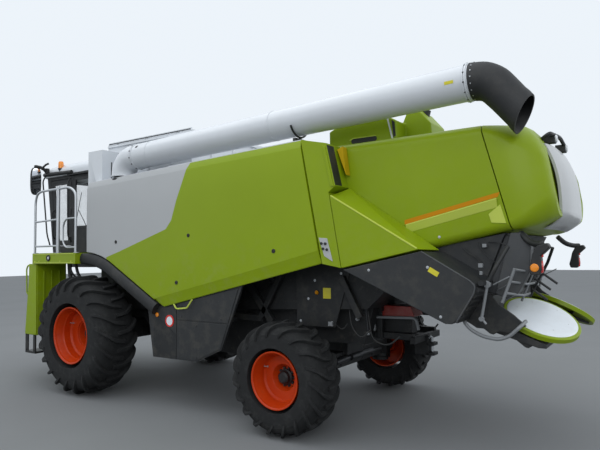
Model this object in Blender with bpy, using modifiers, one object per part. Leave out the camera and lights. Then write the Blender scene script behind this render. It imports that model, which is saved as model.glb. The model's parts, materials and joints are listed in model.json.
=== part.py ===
"""Combine harvester: every sub-part is one object, in metres, +X forward, +Y left, +Z up.

All shapes are drawn in the machine's own frame, whose X zero is the front axle's centre and
whose Z zero is the ground. The empty named machine then slides the whole machine forward, so
that the world origin lies under the middle of its length.
"""

import math

import bmesh
import bpy
from mathutils import Matrix, Vector

# Driving dimensions
FIT = 0.0003              # gap between pieces that rest on each other
RUNNING = 0.008           # gap beside anything that turns or slides
SIDES = 32                # facets around a wheel

WHEELBASE = 3.82
TRACK_HALF = 1.42         # wheel centre plane from the middle of the machine
FRONT_TYRE_RADIUS = 0.90
FRONT_TYRE_WIDTH = 0.65
FRONT_RIM_RADIUS = 0.435
REAR_TYRE_RADIUS = 0.655
REAR_TYRE_WIDTH = 0.50
REAR_RIM_RADIUS = 0.334
KINGPIN_Y = 1.08          # steering axis of a rear wheel

BODY_HALF = 1.45          # outer face of the side panels
PANEL_THICKNESS = 0.045
TRIM_INSET = 0.015        # the arch trim stands in from the panels by this
PANEL_HINGE_DROP = 0.02   # the panel hinge lies this far under the panel's top edge
CORE_HALF = 0.86          # threshing housing
CORE_TOP = 2.12
CORE_LOW_HALF = 0.62      # narrower below, between the steered wheels
ARCH_X = 0.05             # centre of the arc over the front wheel
ARCH_Z = 0.65
ARCH_RADIUS = 1.50
ARCH_TURN = math.radians(28.3)
ARCH_TRIM = 0.18          # width of the dark trim along the arch
PANEL_FRONT = -0.04
PANEL_TOP_FRONT = 3.25
PANEL_REAR = -4.09
PANEL_TOP_REAR = 3.40

TANK_HALF = 0.92
TANK_FRONT = 0.17
TANK_REAR = -1.80
TANK_FLOOR = 2.40
TANK_TOP = 3.93
TANK_WALL = 0.03
SHOULDER_TOP = 3.78       # covers beside the front of the tank
LID_THICKNESS = 0.03

CAB_HALF = 0.90
CAB_REAR = 0.50
CAB_FRONT = 1.80          # at the floor
CAB_LEAN = 0.20           # the front leans forward by this at the eaves
CAB_FLOOR = 2.17
CAB_EAVES = 3.56
CAB_WALL = 0.05
DOOR_REAR = 1.24
GLASS = 0.008

PLATFORM_TOP = 2.15
PLATFORM_DEPTH = 0.17
PLATFORM_OUT = 1.57
PLATFORM_REAR = 0.09
PLATFORM_FRONT = 1.30
RAIL_Y = 1.545
RAIL_RADIUS = 0.019
RAIL_TOP = 3.20

AUGER_X = -0.68           # upright axis that the unloading tube swings on
AUGER_Y = 1.25
AUGER_Z = 3.568           # height of the tube's centre line above the swing axis
AUGER_RISE = 0.0358       # rise for each metre towards the spout
AUGER_RADIUS = 0.185
AUGER_WALL = 0.012
SPOUT_X = -6.04
AUGER_BASE_TOP = 3.297    # the swinging tube stands on this turning ring

HOOD_HALF = 1.15          # side planes of the straw hood
HOOD_TOP = 3.36
HOOD_LOW = 2.115
FEEDER_X = 0.72           # pivot of the feeder house
FEEDER_Z = 1.58
FEEDER_HALF = 0.66
LIFT_Y = 0.45             # lift cylinders: feet on the axle and heads under the feeder house
LIFT_FOOT = (0.30, 0.66)
LIFT_HEAD = (1.50, 0.78)
BARREL_RADIUS = 0.05
LIFT_ROD_RADIUS = 0.028
BARREL_SHARE = 0.60       # the barrel's share of the cylinder's length at rest
LADDER_X = 1.33
LADDER_Y = 1.50

ROTOR_X = -6.48
ROTOR_Y = 0.62
ROTOR_Z = 1.406
ROTOR_RADIUS = 0.375
ROTOR_TILT_BACK = 0.42    # slopes of the rotor's normal, towards the rear and outwards
ROTOR_TILT_OUT = 0.35

for old in list(bpy.data.objects):
    bpy.data.objects.remove(old, do_unlink=True)

parts = bpy.data.collections.new("combine_harvester")
helpers = bpy.data.collections.new("helpers")
bpy.context.scene.collection.children.link(parts)
bpy.context.scene.collection.children.link(helpers)


def finish(name, colour, roughness, metallic=0.0):
    """A plain painted, moulded or metal finish."""
    made = bpy.data.materials.new(name)
    made.use_nodes = True
    shader = made.node_tree.nodes["Principled BSDF"]
    shader.inputs["Base Color"].default_value = (*colour, 1.0)
    shader.inputs["Roughness"].default_value = roughness
    shader.inputs["Metallic"].default_value = metallic
    return made


GREEN = finish("leaf_green_paint", (0.20, 0.31, 0.013), 0.35)
PALE = finish("pale_grey_paint", (0.58, 0.60, 0.62), 0.4)
DARK = finish("dark_grey_plastic", (0.035, 0.038, 0.04), 0.6)
STEEL = finish("dark_steel", (0.05, 0.052, 0.055), 0.5, 0.6)
CHROME = finish("chromed_rod", (0.6, 0.6, 0.6), 0.15, 1.0)
ORANGE = finish("orange_red_paint", (0.56, 0.09, 0.01), 0.35)
RUBBER = finish("tyre_rubber", (0.012, 0.012, 0.012), 0.85)
CLEAR = finish("tinted_glass", (0.25, 0.3, 0.3), 0.05)
SEATING = finish("seat_fabric", (0.05, 0.05, 0.055), 0.9)
RAIL = finish("zinc_grey_rail", (0.45, 0.46, 0.47), 0.4, 0.5)
IRON = finish("cast_iron", (0.04, 0.04, 0.042), 0.7, 0.5)


def empty(name, place, parent=None):
    """An empty on a joint's axis, given in the machine's frame."""
    made = bpy.data.objects.new(name, None)
    parts.objects.link(made)
    made["place"] = list(place)
    made.parent = parent
    base = Vector(parent["place"]) if parent else Vector()
    made.location = Vector(place) - base
    return made


machine = empty("machine", (0, 0, 0))


def keep(obj, material, body=None):
    """Finishes a node: its material, and its place under the empty of the body it moves with."""
    obj.data.materials.clear()
    obj.data.materials.append(material)
    body = body or machine
    obj.parent = body
    obj.location = obj.location - Vector(body["place"])
    return obj


def object_from(name, mesh):
    made = bpy.data.objects.new(name, mesh)
    parts.objects.link(made)
    return made


def solid(name, bm):
    mesh = bpy.data.meshes.new(name)
    bmesh.ops.recalc_face_normals(bm, faces=bm.faces)
    bm.to_mesh(mesh)
    bm.free()
    return object_from(name, mesh)


def box(name, low, high):
    """A box between its lowest and highest corners."""
    bm = bmesh.new()
    size = Vector(high) - Vector(low)
    middle = (Vector(high) + Vector(low)) / 2
    bmesh.ops.create_cube(bm, size=1, matrix=Matrix.Translation(middle) @ Matrix.Diagonal((*size, 1)))
    return solid(name, bm)


def rod(name, start, end, radius, sides=10):
    """A round bar between two points."""
    start = Vector(start)
    along = Vector(end) - start
    turn = along.to_track_quat("Z", "Y").to_matrix().to_4x4()
    place = Matrix.Translation(start + along / 2) @ turn
    bm = bmesh.new()
    bmesh.ops.create_cone(bm, cap_ends=True, segments=sides, radius1=radius, radius2=radius,
                          depth=along.length, matrix=place)
    return solid(name, bm)


def meshed(obj):
    """Replaces a curve object by the mesh that it evaluates to, with its caps welded."""
    bpy.context.view_layer.update()
    graph = bpy.context.evaluated_depsgraph_get()
    mesh = bpy.data.meshes.new_from_object(obj.evaluated_get(graph))
    mesh.transform(obj.matrix_world)
    name = obj.name
    bpy.data.objects.remove(obj, do_unlink=True)
    bm = bmesh.new()
    bm.from_mesh(mesh)
    bmesh.ops.remove_doubles(bm, verts=bm.verts, dist=1e-5)
    bmesh.ops.recalc_face_normals(bm, faces=bm.faces)
    bm.to_mesh(mesh)
    bm.free()
    mesh.name = name
    return object_from(name, mesh)


# How a flat outline's own X and Y lie in the machine, by the axis it is thickened along
LAID = {
    "X": Matrix(((0, 0, 1, 0), (1, 0, 0, 0), (0, 1, 0, 0), (0, 0, 0, 1))),
    "Y": Matrix(((1, 0, 0, 0), (0, 0, -1, 0), (0, 1, 0, 0), (0, 0, 0, 1))),
    "Z": Matrix.Identity(4),
}


def plate(name, outline, low, high, axis="Y"):
    """A flat outline thickened between two planes: (x, z) for axis Y, (y, z) for X, (x, y) for Z."""
    curve = bpy.data.curves.new(name, "CURVE")
    curve.dimensions = "2D"
    curve.fill_mode = "BOTH"
    curve.extrude = (high - low) / 2
    line = curve.splines.new("POLY")
    line.points.add(len(outline) - 1)
    for point, (a, b) in zip(line.points, outline):
        point.co = (a, b, 0, 1)
    line.use_cyclic_u = True
    made = bpy.data.objects.new(name, curve)
    parts.objects.link(made)
    middle = (low + high) / 2
    shift = {"X": (middle, 0, 0), "Y": (0, middle, 0), "Z": (0, 0, middle)}[axis]
    made.matrix_world = Matrix.Translation(shift) @ LAID[axis]
    return meshed(made)


def loft(name, sections):
    """A closed body through outlines with the same number of corners."""
    bm = bmesh.new()
    rings = [[bm.verts.new(p) for p in section] for section in sections]
    for first, second in zip(rings, rings[1:]):
        for i in range(len(first)):
            j = (i + 1) % len(first)
            bm.faces.new((first[i], first[j], second[j], second[i]))
    bm.faces.new(rings[0][::-1])
    bm.faces.new(rings[-1])
    return solid(name, bm)


def tube(name, points, radius, resolution=2):
    """A bent tube along a polyline, with its ends capped."""
    curve = bpy.data.curves.new(name, "CURVE")
    curve.dimensions = "3D"
    curve.bevel_depth = radius
    curve.bevel_resolution = resolution
    curve.use_fill_caps = True
    line = curve.splines.new("POLY")
    line.points.add(len(points) - 1)
    for point, place in zip(line.points, points):
        point.co = (*place, 1)
    made = bpy.data.objects.new(name, curve)
    parts.objects.link(made)
    return meshed(made)


def turned(name, profile, centre, axis="Y", sides=SIDES, half_turn_offset=True):
    """A profile of (radius, along) turned about an axis through centre, from end to end."""
    mesh = bpy.data.meshes.new(name)
    edges = [(i, i + 1) for i in range(len(profile) - 1)]
    closed_ring = profile[0][0] > 0
    if closed_ring:
        edges.append((len(profile) - 1, 0))
    mesh.from_pydata([(r, 0, a) for r, a in profile], edges, [])
    made = object_from(name, mesh)
    screw = made.modifiers.new("turn", "SCREW")
    screw.steps = sides
    screw.render_steps = sides
    screw.use_merge_vertices = True
    screw.merge_threshold = 1e-5
    screw.use_normal_calculate = True
    bpy.context.view_layer.update()
    graph = bpy.context.evaluated_depsgraph_get()
    spun = bpy.data.meshes.new_from_object(made.evaluated_get(graph))
    bpy.data.objects.remove(made, do_unlink=True)
    turn = Matrix.Rotation(math.pi / sides if half_turn_offset else 0, 4, "Z")
    laid = Matrix.Rotation(-math.pi / 2, 4, "X") if axis == "Y" else Matrix.Identity(4)
    spun.transform(Matrix.Translation(centre) @ laid @ turn)
    bm = bmesh.new()
    bm.from_mesh(spun)
    bmesh.ops.remove_doubles(bm, verts=bm.verts, dist=1e-5)
    bmesh.ops.recalc_face_normals(bm, faces=bm.faces)
    bm.to_mesh(spun)
    bm.free()
    spun.name = name
    return object_from(name, spun)


def hide(obj):
    """Makes an object a helper: a cutter, or a shape that is joined into another."""
    obj.hide_render = True
    obj.display_type = "WIRE"
    parts.objects.unlink(obj)
    helpers.objects.link(obj)


def combine(obj, others, operation):
    """Joins helpers to an object, or cuts them from it, and applies the result."""
    group = bpy.data.collections.new(obj.name + "_" + operation.lower())
    helpers.children.link(group)
    for other in others:
        hide(other)
        group.objects.link(other)
        helpers.objects.unlink(other)
        other.parent = obj
    modifier = obj.modifiers.new(operation.lower(), "BOOLEAN")
    modifier.operation = operation
    modifier.solver = "EXACT"
    modifier.operand_type = "COLLECTION"
    modifier.collection = group
    return obj


def join(obj, *others):
    return combine(obj, others, "UNION")


def cut(obj, *others):
    return combine(obj, others, "DIFFERENCE")


def arc(x, z, radius, start, end, steps):
    """Points of an arc in the (x, z) plane, by angles from straight up towards the rear."""
    turns = [start + (end - start) * i / steps for i in range(steps + 1)]
    return [(x - radius * math.sin(a), z + radius * math.cos(a)) for a in turns]


def arch_line(radius, x_end, steps=6):
    """The arch over a front wheel: an arc, then its straight tangent down to x_end."""
    curved = arc(ARCH_X, ARCH_Z, radius, 0.0, ARCH_TURN, steps)
    x, z = curved[-1]
    slope = math.tan(ARCH_TURN)
    return curved + [(x_end, z - (x - x_end) * slope)]


# Wheels
def axle_height(radius):
    """A faceted tyre stands on a flat facet, a little lower than its radius."""
    return radius * math.cos(math.pi / SIDES)


def wheel(name, body, centre, side, radius, width, rim_radius, disc, hub):
    """A tyre and its dished rim. Side is +1 on the left; disc and hub are outward offsets."""
    seat = rim_radius - 0.022
    tyre = [(seat + FIT, 0.44), (seat + 0.05, 0.475), ((seat + radius) / 2, 0.5),
            (radius - 0.10, 0.485), (radius - 0.02, 0.42), (radius, 0.25)]
    ring = tyre + [(r, -a) for r, a in reversed(tyre)]
    ring = [(r, a * width) for r, a in ring]
    keep(turned(name + "_tyre", ring, centre), RUBBER, body)
    edge = 0.44 * width
    shell = 0.016
    rim = [(0, side * (hub + 0.10)), (0.36 * seat, side * (hub + 0.10)), (0.38 * seat, side * (disc + 0.01)),
           (seat - shell, side * disc), (seat - shell, side * edge), (seat, side * edge),
           (seat, -side * edge), (seat - shell, -side * edge), (seat - shell, side * (disc - 0.02)),
           (0.36 * seat, side * (disc - 0.02)), (0.36 * seat, side * hub), (0, side * hub)]
    keep(turned(name + "_rim", rim, centre), ORANGE, body)


front_z = axle_height(FRONT_TYRE_RADIUS)
rear_z = axle_height(REAR_TYRE_RADIUS)
FRONT_DISC = 0.02
FRONT_HUB = -0.14
REAR_DISC = 0.03
REAR_HUB = -0.07

sides = (("left", 1), ("right", -1))
for word, side in sides:
    centre = (0, side * TRACK_HALF, front_z)
    body = empty("front_" + word + "_wheel_axis", centre, machine)
    wheel("front_" + word, body, centre, side, FRONT_TYRE_RADIUS, FRONT_TYRE_WIDTH, FRONT_RIM_RADIUS,
          FRONT_DISC, FRONT_HUB)

# Front axle: a beam with a final drive at each end, whose flange carries the rim
drive_in = 0.90
flange = TRACK_HALF + FRONT_HUB - FIT
axle = box("front_axle", (-0.17, -drive_in - 0.05, front_z - 0.16), (0.17, drive_in + 0.05, front_z + 0.16))
ends = []
for word, side in sides:
    ends.append(rod("drive_" + word, (0, side * drive_in, front_z), (0, side * 1.16, front_z), 0.27, 16))
    ends.append(rod("flange_" + word, (0, side * 1.10, front_z), (0, side * flange, front_z), 0.13, 16))
    for inner, outer in ((-0.070, -0.045 - FIT), (0.045 + FIT, 0.070)):
        y = side * LIFT_Y
        ends.append(box("lift_fork", (0.10, y + inner, LIFT_FOOT[1] - 0.05),
                        (0.34, y + outer, front_z - 0.10)))
keep(join(axle, *ends), IRON)

# Rear axle: a beam that rocks under a bracket, with an upright eye for each kingpin
EYE_HEIGHT = 0.17
beam_z = rear_z + 0.02
axle = box("rear_axle", (-WHEELBASE - 0.10, -KINGPIN_Y, beam_z - 0.10),
           (-WHEELBASE + 0.10, KINGPIN_Y, beam_z + 0.10))
ends = [rod("eye_" + word, (-WHEELBASE, side * KINGPIN_Y, beam_z - EYE_HEIGHT),
            (-WHEELBASE, side * KINGPIN_Y, beam_z + EYE_HEIGHT), 0.11, 16) for word, side in sides]
ends.append(box("saddle", (-WHEELBASE - 0.16, -0.22, beam_z + 0.05),
                (-WHEELBASE + 0.16, 0.22, beam_z + 0.24)))
keep(join(axle, *ends), IRON)

for word, side in sides:
    pin_y = side * KINGPIN_Y
    steer = empty("rear_" + word + "_kingpin", (-WHEELBASE, pin_y, beam_z), machine)
    arm = EYE_HEIGHT + FIT
    web = side * 0.135
    top = rod("rear_" + word + "_knuckle", (-WHEELBASE, pin_y, beam_z + arm),
              (-WHEELBASE, pin_y, beam_z + arm + 0.04), 0.12, 16)
    low = rod("low_" + word, (-WHEELBASE, pin_y, beam_z - arm - 0.04),
              (-WHEELBASE, pin_y, beam_z - arm), 0.12, 16)
    ys = sorted((pin_y + web, pin_y + web * 1.35))
    upright = box("web_" + word, (-WHEELBASE - 0.08, ys[0], beam_z - arm - 0.035),
                  (-WHEELBASE + 0.08, ys[1], beam_z + arm + 0.035))
    bridges = []
    for z in (beam_z + arm + 0.005, beam_z - arm - 0.035):
        ys = sorted((pin_y + side * 0.02, pin_y + web * 1.2))
        bridges.append(box("bridge_" + word, (-WHEELBASE - 0.078, ys[0], z),
                           (-WHEELBASE + 0.078, ys[1], z + 0.03)))
    hub_y = side * (TRACK_HALF + REAR_HUB - FIT)
    spindle = rod("spindle_" + word, (-WHEELBASE, pin_y + web * 1.2, rear_z), (-WHEELBASE, hub_y, rear_z),
                  0.09, 16)
    keep(join(top, low, upright, spindle, *bridges), IRON, steer)
    centre = (-WHEELBASE, side * TRACK_HALF, rear_z)
    body = empty("rear_" + word + "_wheel_axis", centre, steer)
    wheel("rear_" + word, body, centre, side, REAR_TYRE_RADIUS, REAR_TYRE_WIDTH, REAR_RIM_RADIUS,
          REAR_DISC, REAR_HUB)

panel_in = BODY_HALF - PANEL_THICKNESS
hinge_rise = (PANEL_TOP_REAR - PANEL_TOP_FRONT) / (PANEL_REAR - PANEL_FRONT)

# Threshing housing: wide above the wheels, narrow between the steered ones
core = plate("threshing_housing", [(0.42, 1.20), (0.42, CORE_TOP), (-4.62, CORE_TOP), (-4.95, 1.72),
                                   (-4.62, 1.42)],
             -CORE_HALF, CORE_HALF)
low = plate("sieve_box", [(0.30, 1.30), (0.26, 1.09), (-0.40, 1.075), (-0.75, 0.70), (-2.70, 0.66),
                          (-3.15, 0.95),
                          (-4.45, 0.96), (-4.60, 1.50), (0.30, 1.50)], -CORE_LOW_HALF, CORE_LOW_HALF)
saddle_top = beam_z + 0.24
hanger = box("axle_hanger", (-WHEELBASE - 0.20, -0.30, saddle_top + FIT), (-WHEELBASE + 0.20, 0.30, 1.10))
brackets = []
for word, side in sides:
    ys = sorted((side * (FEEDER_HALF + FIT), side * (FEEDER_HALF + 0.06)))
    brackets.append(box("feeder_bracket", (0.36, ys[0], FEEDER_Z - 0.14),
                        (FEEDER_X + 0.13, ys[1], FEEDER_Z + 0.14)))
front_seat = box("axle_seat", (-0.16, -0.55, front_z + 0.16 + FIT), (0.16, 0.55, 1.20))
# The frame that the side panels and the top deck stand on
frame_half = panel_in - TRIM_INSET - FIT
frame_parts = [box("upper_frame", (PANEL_REAR + 0.02, -frame_half, 2.10),
                   (PANEL_FRONT - 0.02, frame_half, 2.16))]
for word, side in sides:
    for x in (-0.10, -2.30, -4.00):
        ys = sorted((side * 1.33, side * (panel_in - FIT)))
        top = PANEL_TOP_FRONT + hinge_rise * (x - PANEL_FRONT) - 0.06
        frame_parts.append(box("upright_" + word, (x - 0.04, ys[0], 2.15), (x + 0.02, ys[1], top)))
keep(join(core, low, hanger, front_seat, *brackets, *frame_parts), DARK)

# Side panels: doors hinged along their top edge, with the arch over the front wheel
panel_outline = [(PANEL_FRONT, PANEL_TOP_FRONT), (PANEL_REAR, PANEL_TOP_REAR), (-4.35, 1.97), (-1.76, 1.38)]
panel_outline += [p for p in reversed(arch_line(ARCH_RADIUS, -1.60)) if p[0] < PANEL_FRONT]
panel_outline.append((PANEL_FRONT, ARCH_Z + ARCH_RADIUS))
outer_arch = arch_line(ARCH_RADIUS - RUNNING, -1.70)
inner_arch = arch_line(ARCH_RADIUS - ARCH_TRIM, -1.52)
lower_outline = [(-1.40, 1.34), (-1.46, 0.67), (-2.36, 0.68), (-2.80, 0.87), (-3.16, 1.74), (-1.80, 1.43),
                 (-1.52, 1.42)]
post_outline = [(-4.115, 3.40), (-4.45, 3.32), (-4.56, 2.83), (-4.46, 2.76), (-4.61, 1.92), (-4.375, 1.965)]
WEDGE_GAP = 0.006
wedge_out = [(-4.475 - WEDGE_GAP, 2.725), (-5.51, 2.11), (-4.61 - WEDGE_GAP, 1.92)]
wedge_in = [(-4.564 - WEDGE_GAP, 2.83), (-5.62, 2.10), (-4.61 - WEDGE_GAP, 1.92)]
duct_out = [(-4.63, 1.905), (-5.78, 1.385), (-5.86, 1.385), (-6.07, 1.72), (-6.07, 1.78), (-5.53, 2.095)]
duct_in = [(-4.63, 1.905), (-5.78, 1.385), (-5.86, 1.385), (-6.13, 1.76), (-6.13, 1.83), (-5.64, 2.085)]

for word, side in sides:
    hinge = empty(word + "_panel_hinge", (PANEL_FRONT, side * (panel_in + 0.01),
                                          PANEL_TOP_FRONT - PANEL_HINGE_DROP),
                  machine)
    ys = sorted((side * panel_in, side * BODY_HALF))
    keep(plate(word + "_side_panel", panel_outline, *ys), GREEN, hinge)

    ys = sorted((side * (panel_in - TRIM_INSET), side * BODY_HALF))
    trim = plate(word + "_fender", outer_arch + inner_arch[::-1], *ys)

    ys = sorted((side * (BODY_HALF - 0.09), side * (BODY_HALF - 0.055)))
    skirt = plate(word + "_skirt", lower_outline, *ys)
    ys = sorted((side * (CORE_LOW_HALF + FIT), side * (BODY_HALF - 0.075)))
    stays = [box("stay_" + word, (x, ys[0], 1.18), (x + 0.06, ys[1], 1.24)) for x in (-1.70, -2.65)]
    keep(join(trim, skirt, *stays), DARK)

    near = side * (HOOD_HALF + FIT)
    far = side * BODY_HALF
    keep(loft(word + "_wedge_panel", [[(x, near, z) for x, z in wedge_in],
                                      [(x, far, z) for x, z in wedge_out]]),
         GREEN)

deck_outline = [(TANK_REAR - FIT, 3.30), (TANK_REAR - FIT, 3.34), (PANEL_REAR + 0.02, 3.42),
                (PANEL_REAR + 0.02, 3.38)]

# Grain tank with its lids, its shoulder covers and the deck over the engine
tank = box("grain_tank", (TANK_REAR, -TANK_HALF, TANK_FLOOR), (TANK_FRONT, TANK_HALF, TANK_TOP))
hollow = box("tank_space", (TANK_REAR + TANK_WALL, -TANK_HALF + TANK_WALL, TANK_FLOOR + TANK_WALL),
             (TANK_FRONT - TANK_WALL, TANK_HALF - TANK_WALL, TANK_TOP + 0.1))
legs = [box("tank_leg", (x, -0.60, 2.16 + FIT), (x + 0.12, 0.60, TANK_FLOOR + 0.01)) for x in (-1.6, -0.2)]
keep(cut(join(tank, *legs), hollow), PALE)

for word, side in sides:
    inner = side * RUNNING / 2
    outer = side * TANK_HALF
    hinge = empty(word + "_lid_hinge", (TANK_FRONT, outer, TANK_TOP + LID_THICKNESS / 2 + FIT), machine)
    ys = sorted((inner, outer))
    keep(box(word + "_tank_lid", (TANK_REAR, ys[0], TANK_TOP + FIT),
             (TANK_FRONT, ys[1], TANK_TOP + LID_THICKNESS)),
         PALE, hinge)

DECK_HALF = 1.38
deck = plate("engine_deck", deck_outline, -DECK_HALF, DECK_HALF)
shelves = []
for word, side in sides:
    ys = sorted((side * (TANK_HALF + FIT), side * DECK_HALF))
    shelves.append(plate("shelf_" + word, [(PANEL_FRONT - 0.02, 3.225), (PANEL_FRONT - 0.02, 3.265),
                                            (TANK_REAR - 0.05, 3.335), (TANK_REAR - 0.05, 3.295)], *ys))
base = rod("auger_base", (AUGER_X, AUGER_Y, AUGER_BASE_TOP - 0.09), (AUGER_X, AUGER_Y, AUGER_BASE_TOP), 0.13,
           20)
for word, side in sides:
    ys = sorted((side * (TANK_HALF + RUNNING), side * 1.30))
    outline = [(ys[0], 3.225), (ys[1], 3.225), (ys[1], SHOULDER_TOP), (ys[0], SHOULDER_TOP)]
    shelves.append(plate("shoulder_" + word, outline, PANEL_FRONT - 0.16, PANEL_FRONT + 0.20, "X"))
keep(join(deck, base, *shelves), PALE)

keep(box("engine_block", (-3.45, -0.42, 2.16 + FIT), (-2.15, 0.42, 3.10)), IRON)

hood_outline = [(-4.16, HOOD_TOP + FIT), (-4.16, 3.58), (-4.30, 3.64), (-4.95, 3.66), (-5.05, 3.60),
                (-5.05, HOOD_TOP + FIT)]
bonnet = plate("engine_hood", hood_outline, -0.90, 0.90)
exhaust_outline = [(-5.02, HOOD_TOP + FIT), (-5.02, 3.64), (-5.08, 3.77), (-5.20, 3.77), (-5.36, 3.58),
                   (-5.38, HOOD_TOP + FIT)]
keep(join(bonnet, plate("exhaust_cover", exhaust_outline, 0.15, 0.62)), GREEN)

# Straw hood and its rounded rear cover
hood = plate("straw_hood", [(-4.13, 3.34), (-4.13, HOOD_TOP), (-6.06, HOOD_TOP), (-6.335, 2.285),
                            (-5.45, HOOD_LOW),
                            (-4.66, HOOD_LOW), (-4.63, CORE_TOP + FIT), (-4.38, CORE_TOP + FIT)],
             -HOOD_HALF, HOOD_HALF)
posts = []
for word, side in sides:
    ys = sorted((side * (HOOD_HALF - 0.05), side * BODY_HALF))
    posts.append(plate("post_" + word, post_outline, *ys))
keep(join(hood, *posts), GREEN)
SEAM = FIT
SEAM_TOP_X = -6.06
SEAM_LOW_X = -6.335
SEAM_LOW_Z = 2.285
COVER_LOW_Z = 2.42
COVER_REAR_X = -6.71


def seam_x(z):
    """X of the slanting seam between the straw hood and its rear cover."""
    return SEAM_TOP_X + (SEAM_LOW_X - SEAM_TOP_X) * (HOOD_TOP - z) / (HOOD_TOP - SEAM_LOW_Z) - SEAM


def cover_rear_x(z):
    """X of the rear cover's back, which curves forward towards the top."""
    return COVER_REAR_X + 0.27 * max(0.0, (z - COVER_LOW_Z) / (HOOD_TOP - COVER_LOW_Z)) ** 3


def cover_ring(share):
    """A section of the rear cover, from its seam at 0 to its back at 1."""
    half = HOOD_HALF - 0.15 * share ** 3
    corner = 0.04 + 0.36 * share
    low = SEAM_LOW_Z + (COVER_LOW_Z - SEAM_LOW_Z) * share ** 2
    half_ring = [(half - 0.10, low), (half, low + 0.08)]
    for step in range(6):
        turn = math.pi / 2 * step / 5
        half_ring.append((half - corner + corner * math.cos(turn),
                          HOOD_TOP - corner + corner * math.sin(turn)))
    ring = half_ring + [(-y, z) for y, z in reversed(half_ring)]
    return [(seam_x(z) + (cover_rear_x(z) - seam_x(z)) * share, y, z) for y, z in ring]


keep(loft("rear_cover", [cover_ring(share) for share in (0.0, 0.4, 0.7, 0.9, 1.0)]), GREEN)
heights = [2.41 + 0.11 * i for i in range(8)]
panel_front = [(cover_rear_x(z) - FIT, z) for z in heights]
panel_back = [(cover_rear_x(z) - 0.055, z) for z in heights]
keep(plate("rear_silver_panel", panel_front + panel_back[::-1], -0.62, 0.62), PALE)

# Chopper housing below the straw hood, the spreader frame behind it and its guards
chopper = plate("chopper_housing", [(-4.98, HOOD_LOW - FIT), (-5.45, 1.46), (-5.90, 1.47), (-6.03, 1.70),
                                    (-6.24, 2.20), (-6.26, 2.26), (-5.45, HOOD_LOW - FIT)], -1.10, 1.10)
# The leaning post behind the chopper shows on the left only
post_plate = [(-6.20, 2.24), (-5.98, 1.66), (-6.25, 1.62), (-6.36, 1.68), (-6.47, 1.88), (-6.49, 2.14),
              (-6.42, 2.26)]
chopper_parts = [plate("post_plate", post_plate, 0.92, 1.06)]
for word, side in sides:
    near = side * 1.05
    far = side * BODY_HALF
    chopper_parts.append(loft("guard_" + word, [[(x, near, z - 0.004) for x, z in duct_in],
                                                [(x, far, z - 0.004) for x, z in duct_out]]))


FRAME_DROP = -0.195       # the spreader frame's top, under the rotors' middles
ROTOR_THICKNESS = 0.055
SHAFT_REACH = 0.12        # a rotor's shaft meets its boss this far under its top


def tilted(x, z_off):
    """A point of the spreader frame's plane, which slopes down towards the rear."""
    return (x, ROTOR_Z + ROTOR_TILT_BACK * (x - ROTOR_X) + z_off)


chopper_parts.append(plate("spreader_frame", [(-5.88, 1.62), (-5.88, 1.40), tilted(-6.50, -0.26),
                                              tilted(-6.58, -0.235), tilted(-6.58, FRAME_DROP),
                                              tilted(-6.09, FRAME_DROP), (-6.06, 1.45), (-6.06, 1.62)],
                           -0.98, 0.98))

for word, side in sides:
    normal = Vector((-ROTOR_TILT_BACK, side * ROTOR_TILT_OUT, 1)).normalized()
    centre = Vector((ROTOR_X, side * ROTOR_Y, ROTOR_Z))
    body = empty(word + "_rotor_axis", centre, machine)
    disc = rod(word + "_spreader_rotor", centre - normal * ROTOR_THICKNESS, centre, ROTOR_RADIUS, 28)
    shaft = rod("shaft_" + word, centre - normal * SHAFT_REACH, centre - normal * 0.03, 0.07, 12)
    keep(join(disc, shaft), GREEN, body)
    chopper_parts.append(rod("boss_" + word, centre - normal * 0.26, centre - normal * (SHAFT_REACH + FIT),
                             0.085, 12))

# Rear lamps on their arms, and the guard tube and step rack
for word, side in sides:
    arm = tube("lamp_arm_" + word, [(-6.16, side * 1.03, 2.13), (-6.46, side * 1.16, 2.10),
                                    (-6.56, side * 1.20, 2.13)],
               0.028)
    ys = sorted((side * 1.13, side * 1.26))
    lamp = plate("lamp_box_" + word, [(-6.50, 1.84), (-6.50, 2.16), (-6.60, 2.18), (-6.63, 2.12),
                                      (-6.60, 1.84)], *ys)
    chopper_parts += [arm, lamp]
keep(join(chopper, *chopper_parts), DARK)

# Feeder house on its pivot, with a lift cylinder at each side
feeder = empty("feeder_pivot", (FEEDER_X, 0, FEEDER_Z), machine)
FEEDER_FACE = 2.40
house = plate("feeder_house", [(0.60, 1.74), (0.47, 1.36), (0.70, 1.22), (2.16, 0.52), (FEEDER_FACE, 0.56),
                               (FEEDER_FACE, 1.26), (2.26, 1.30)], -FEEDER_HALF, FEEDER_HALF)
mouth = plate("feeder_mouth", [(2.05, 0.66), (FEEDER_FACE + 0.1, 0.66), (FEEDER_FACE + 0.1, 1.16),
                               (2.05, 1.16)],
              -FEEDER_HALF + 0.06, FEEDER_HALF - 0.06)
lugs = []
for word, side in sides:
    for shift in (-0.060, 0.036):
        y = side * LIFT_Y + shift
        lugs.append(box("lift_lug", (LIFT_HEAD[0] - 0.06, y, 0.74), (LIFT_HEAD[0] + 0.06, y + 0.024, 0.90)))
keep(cut(join(house, *lugs), mouth), GREEN, feeder)

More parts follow.
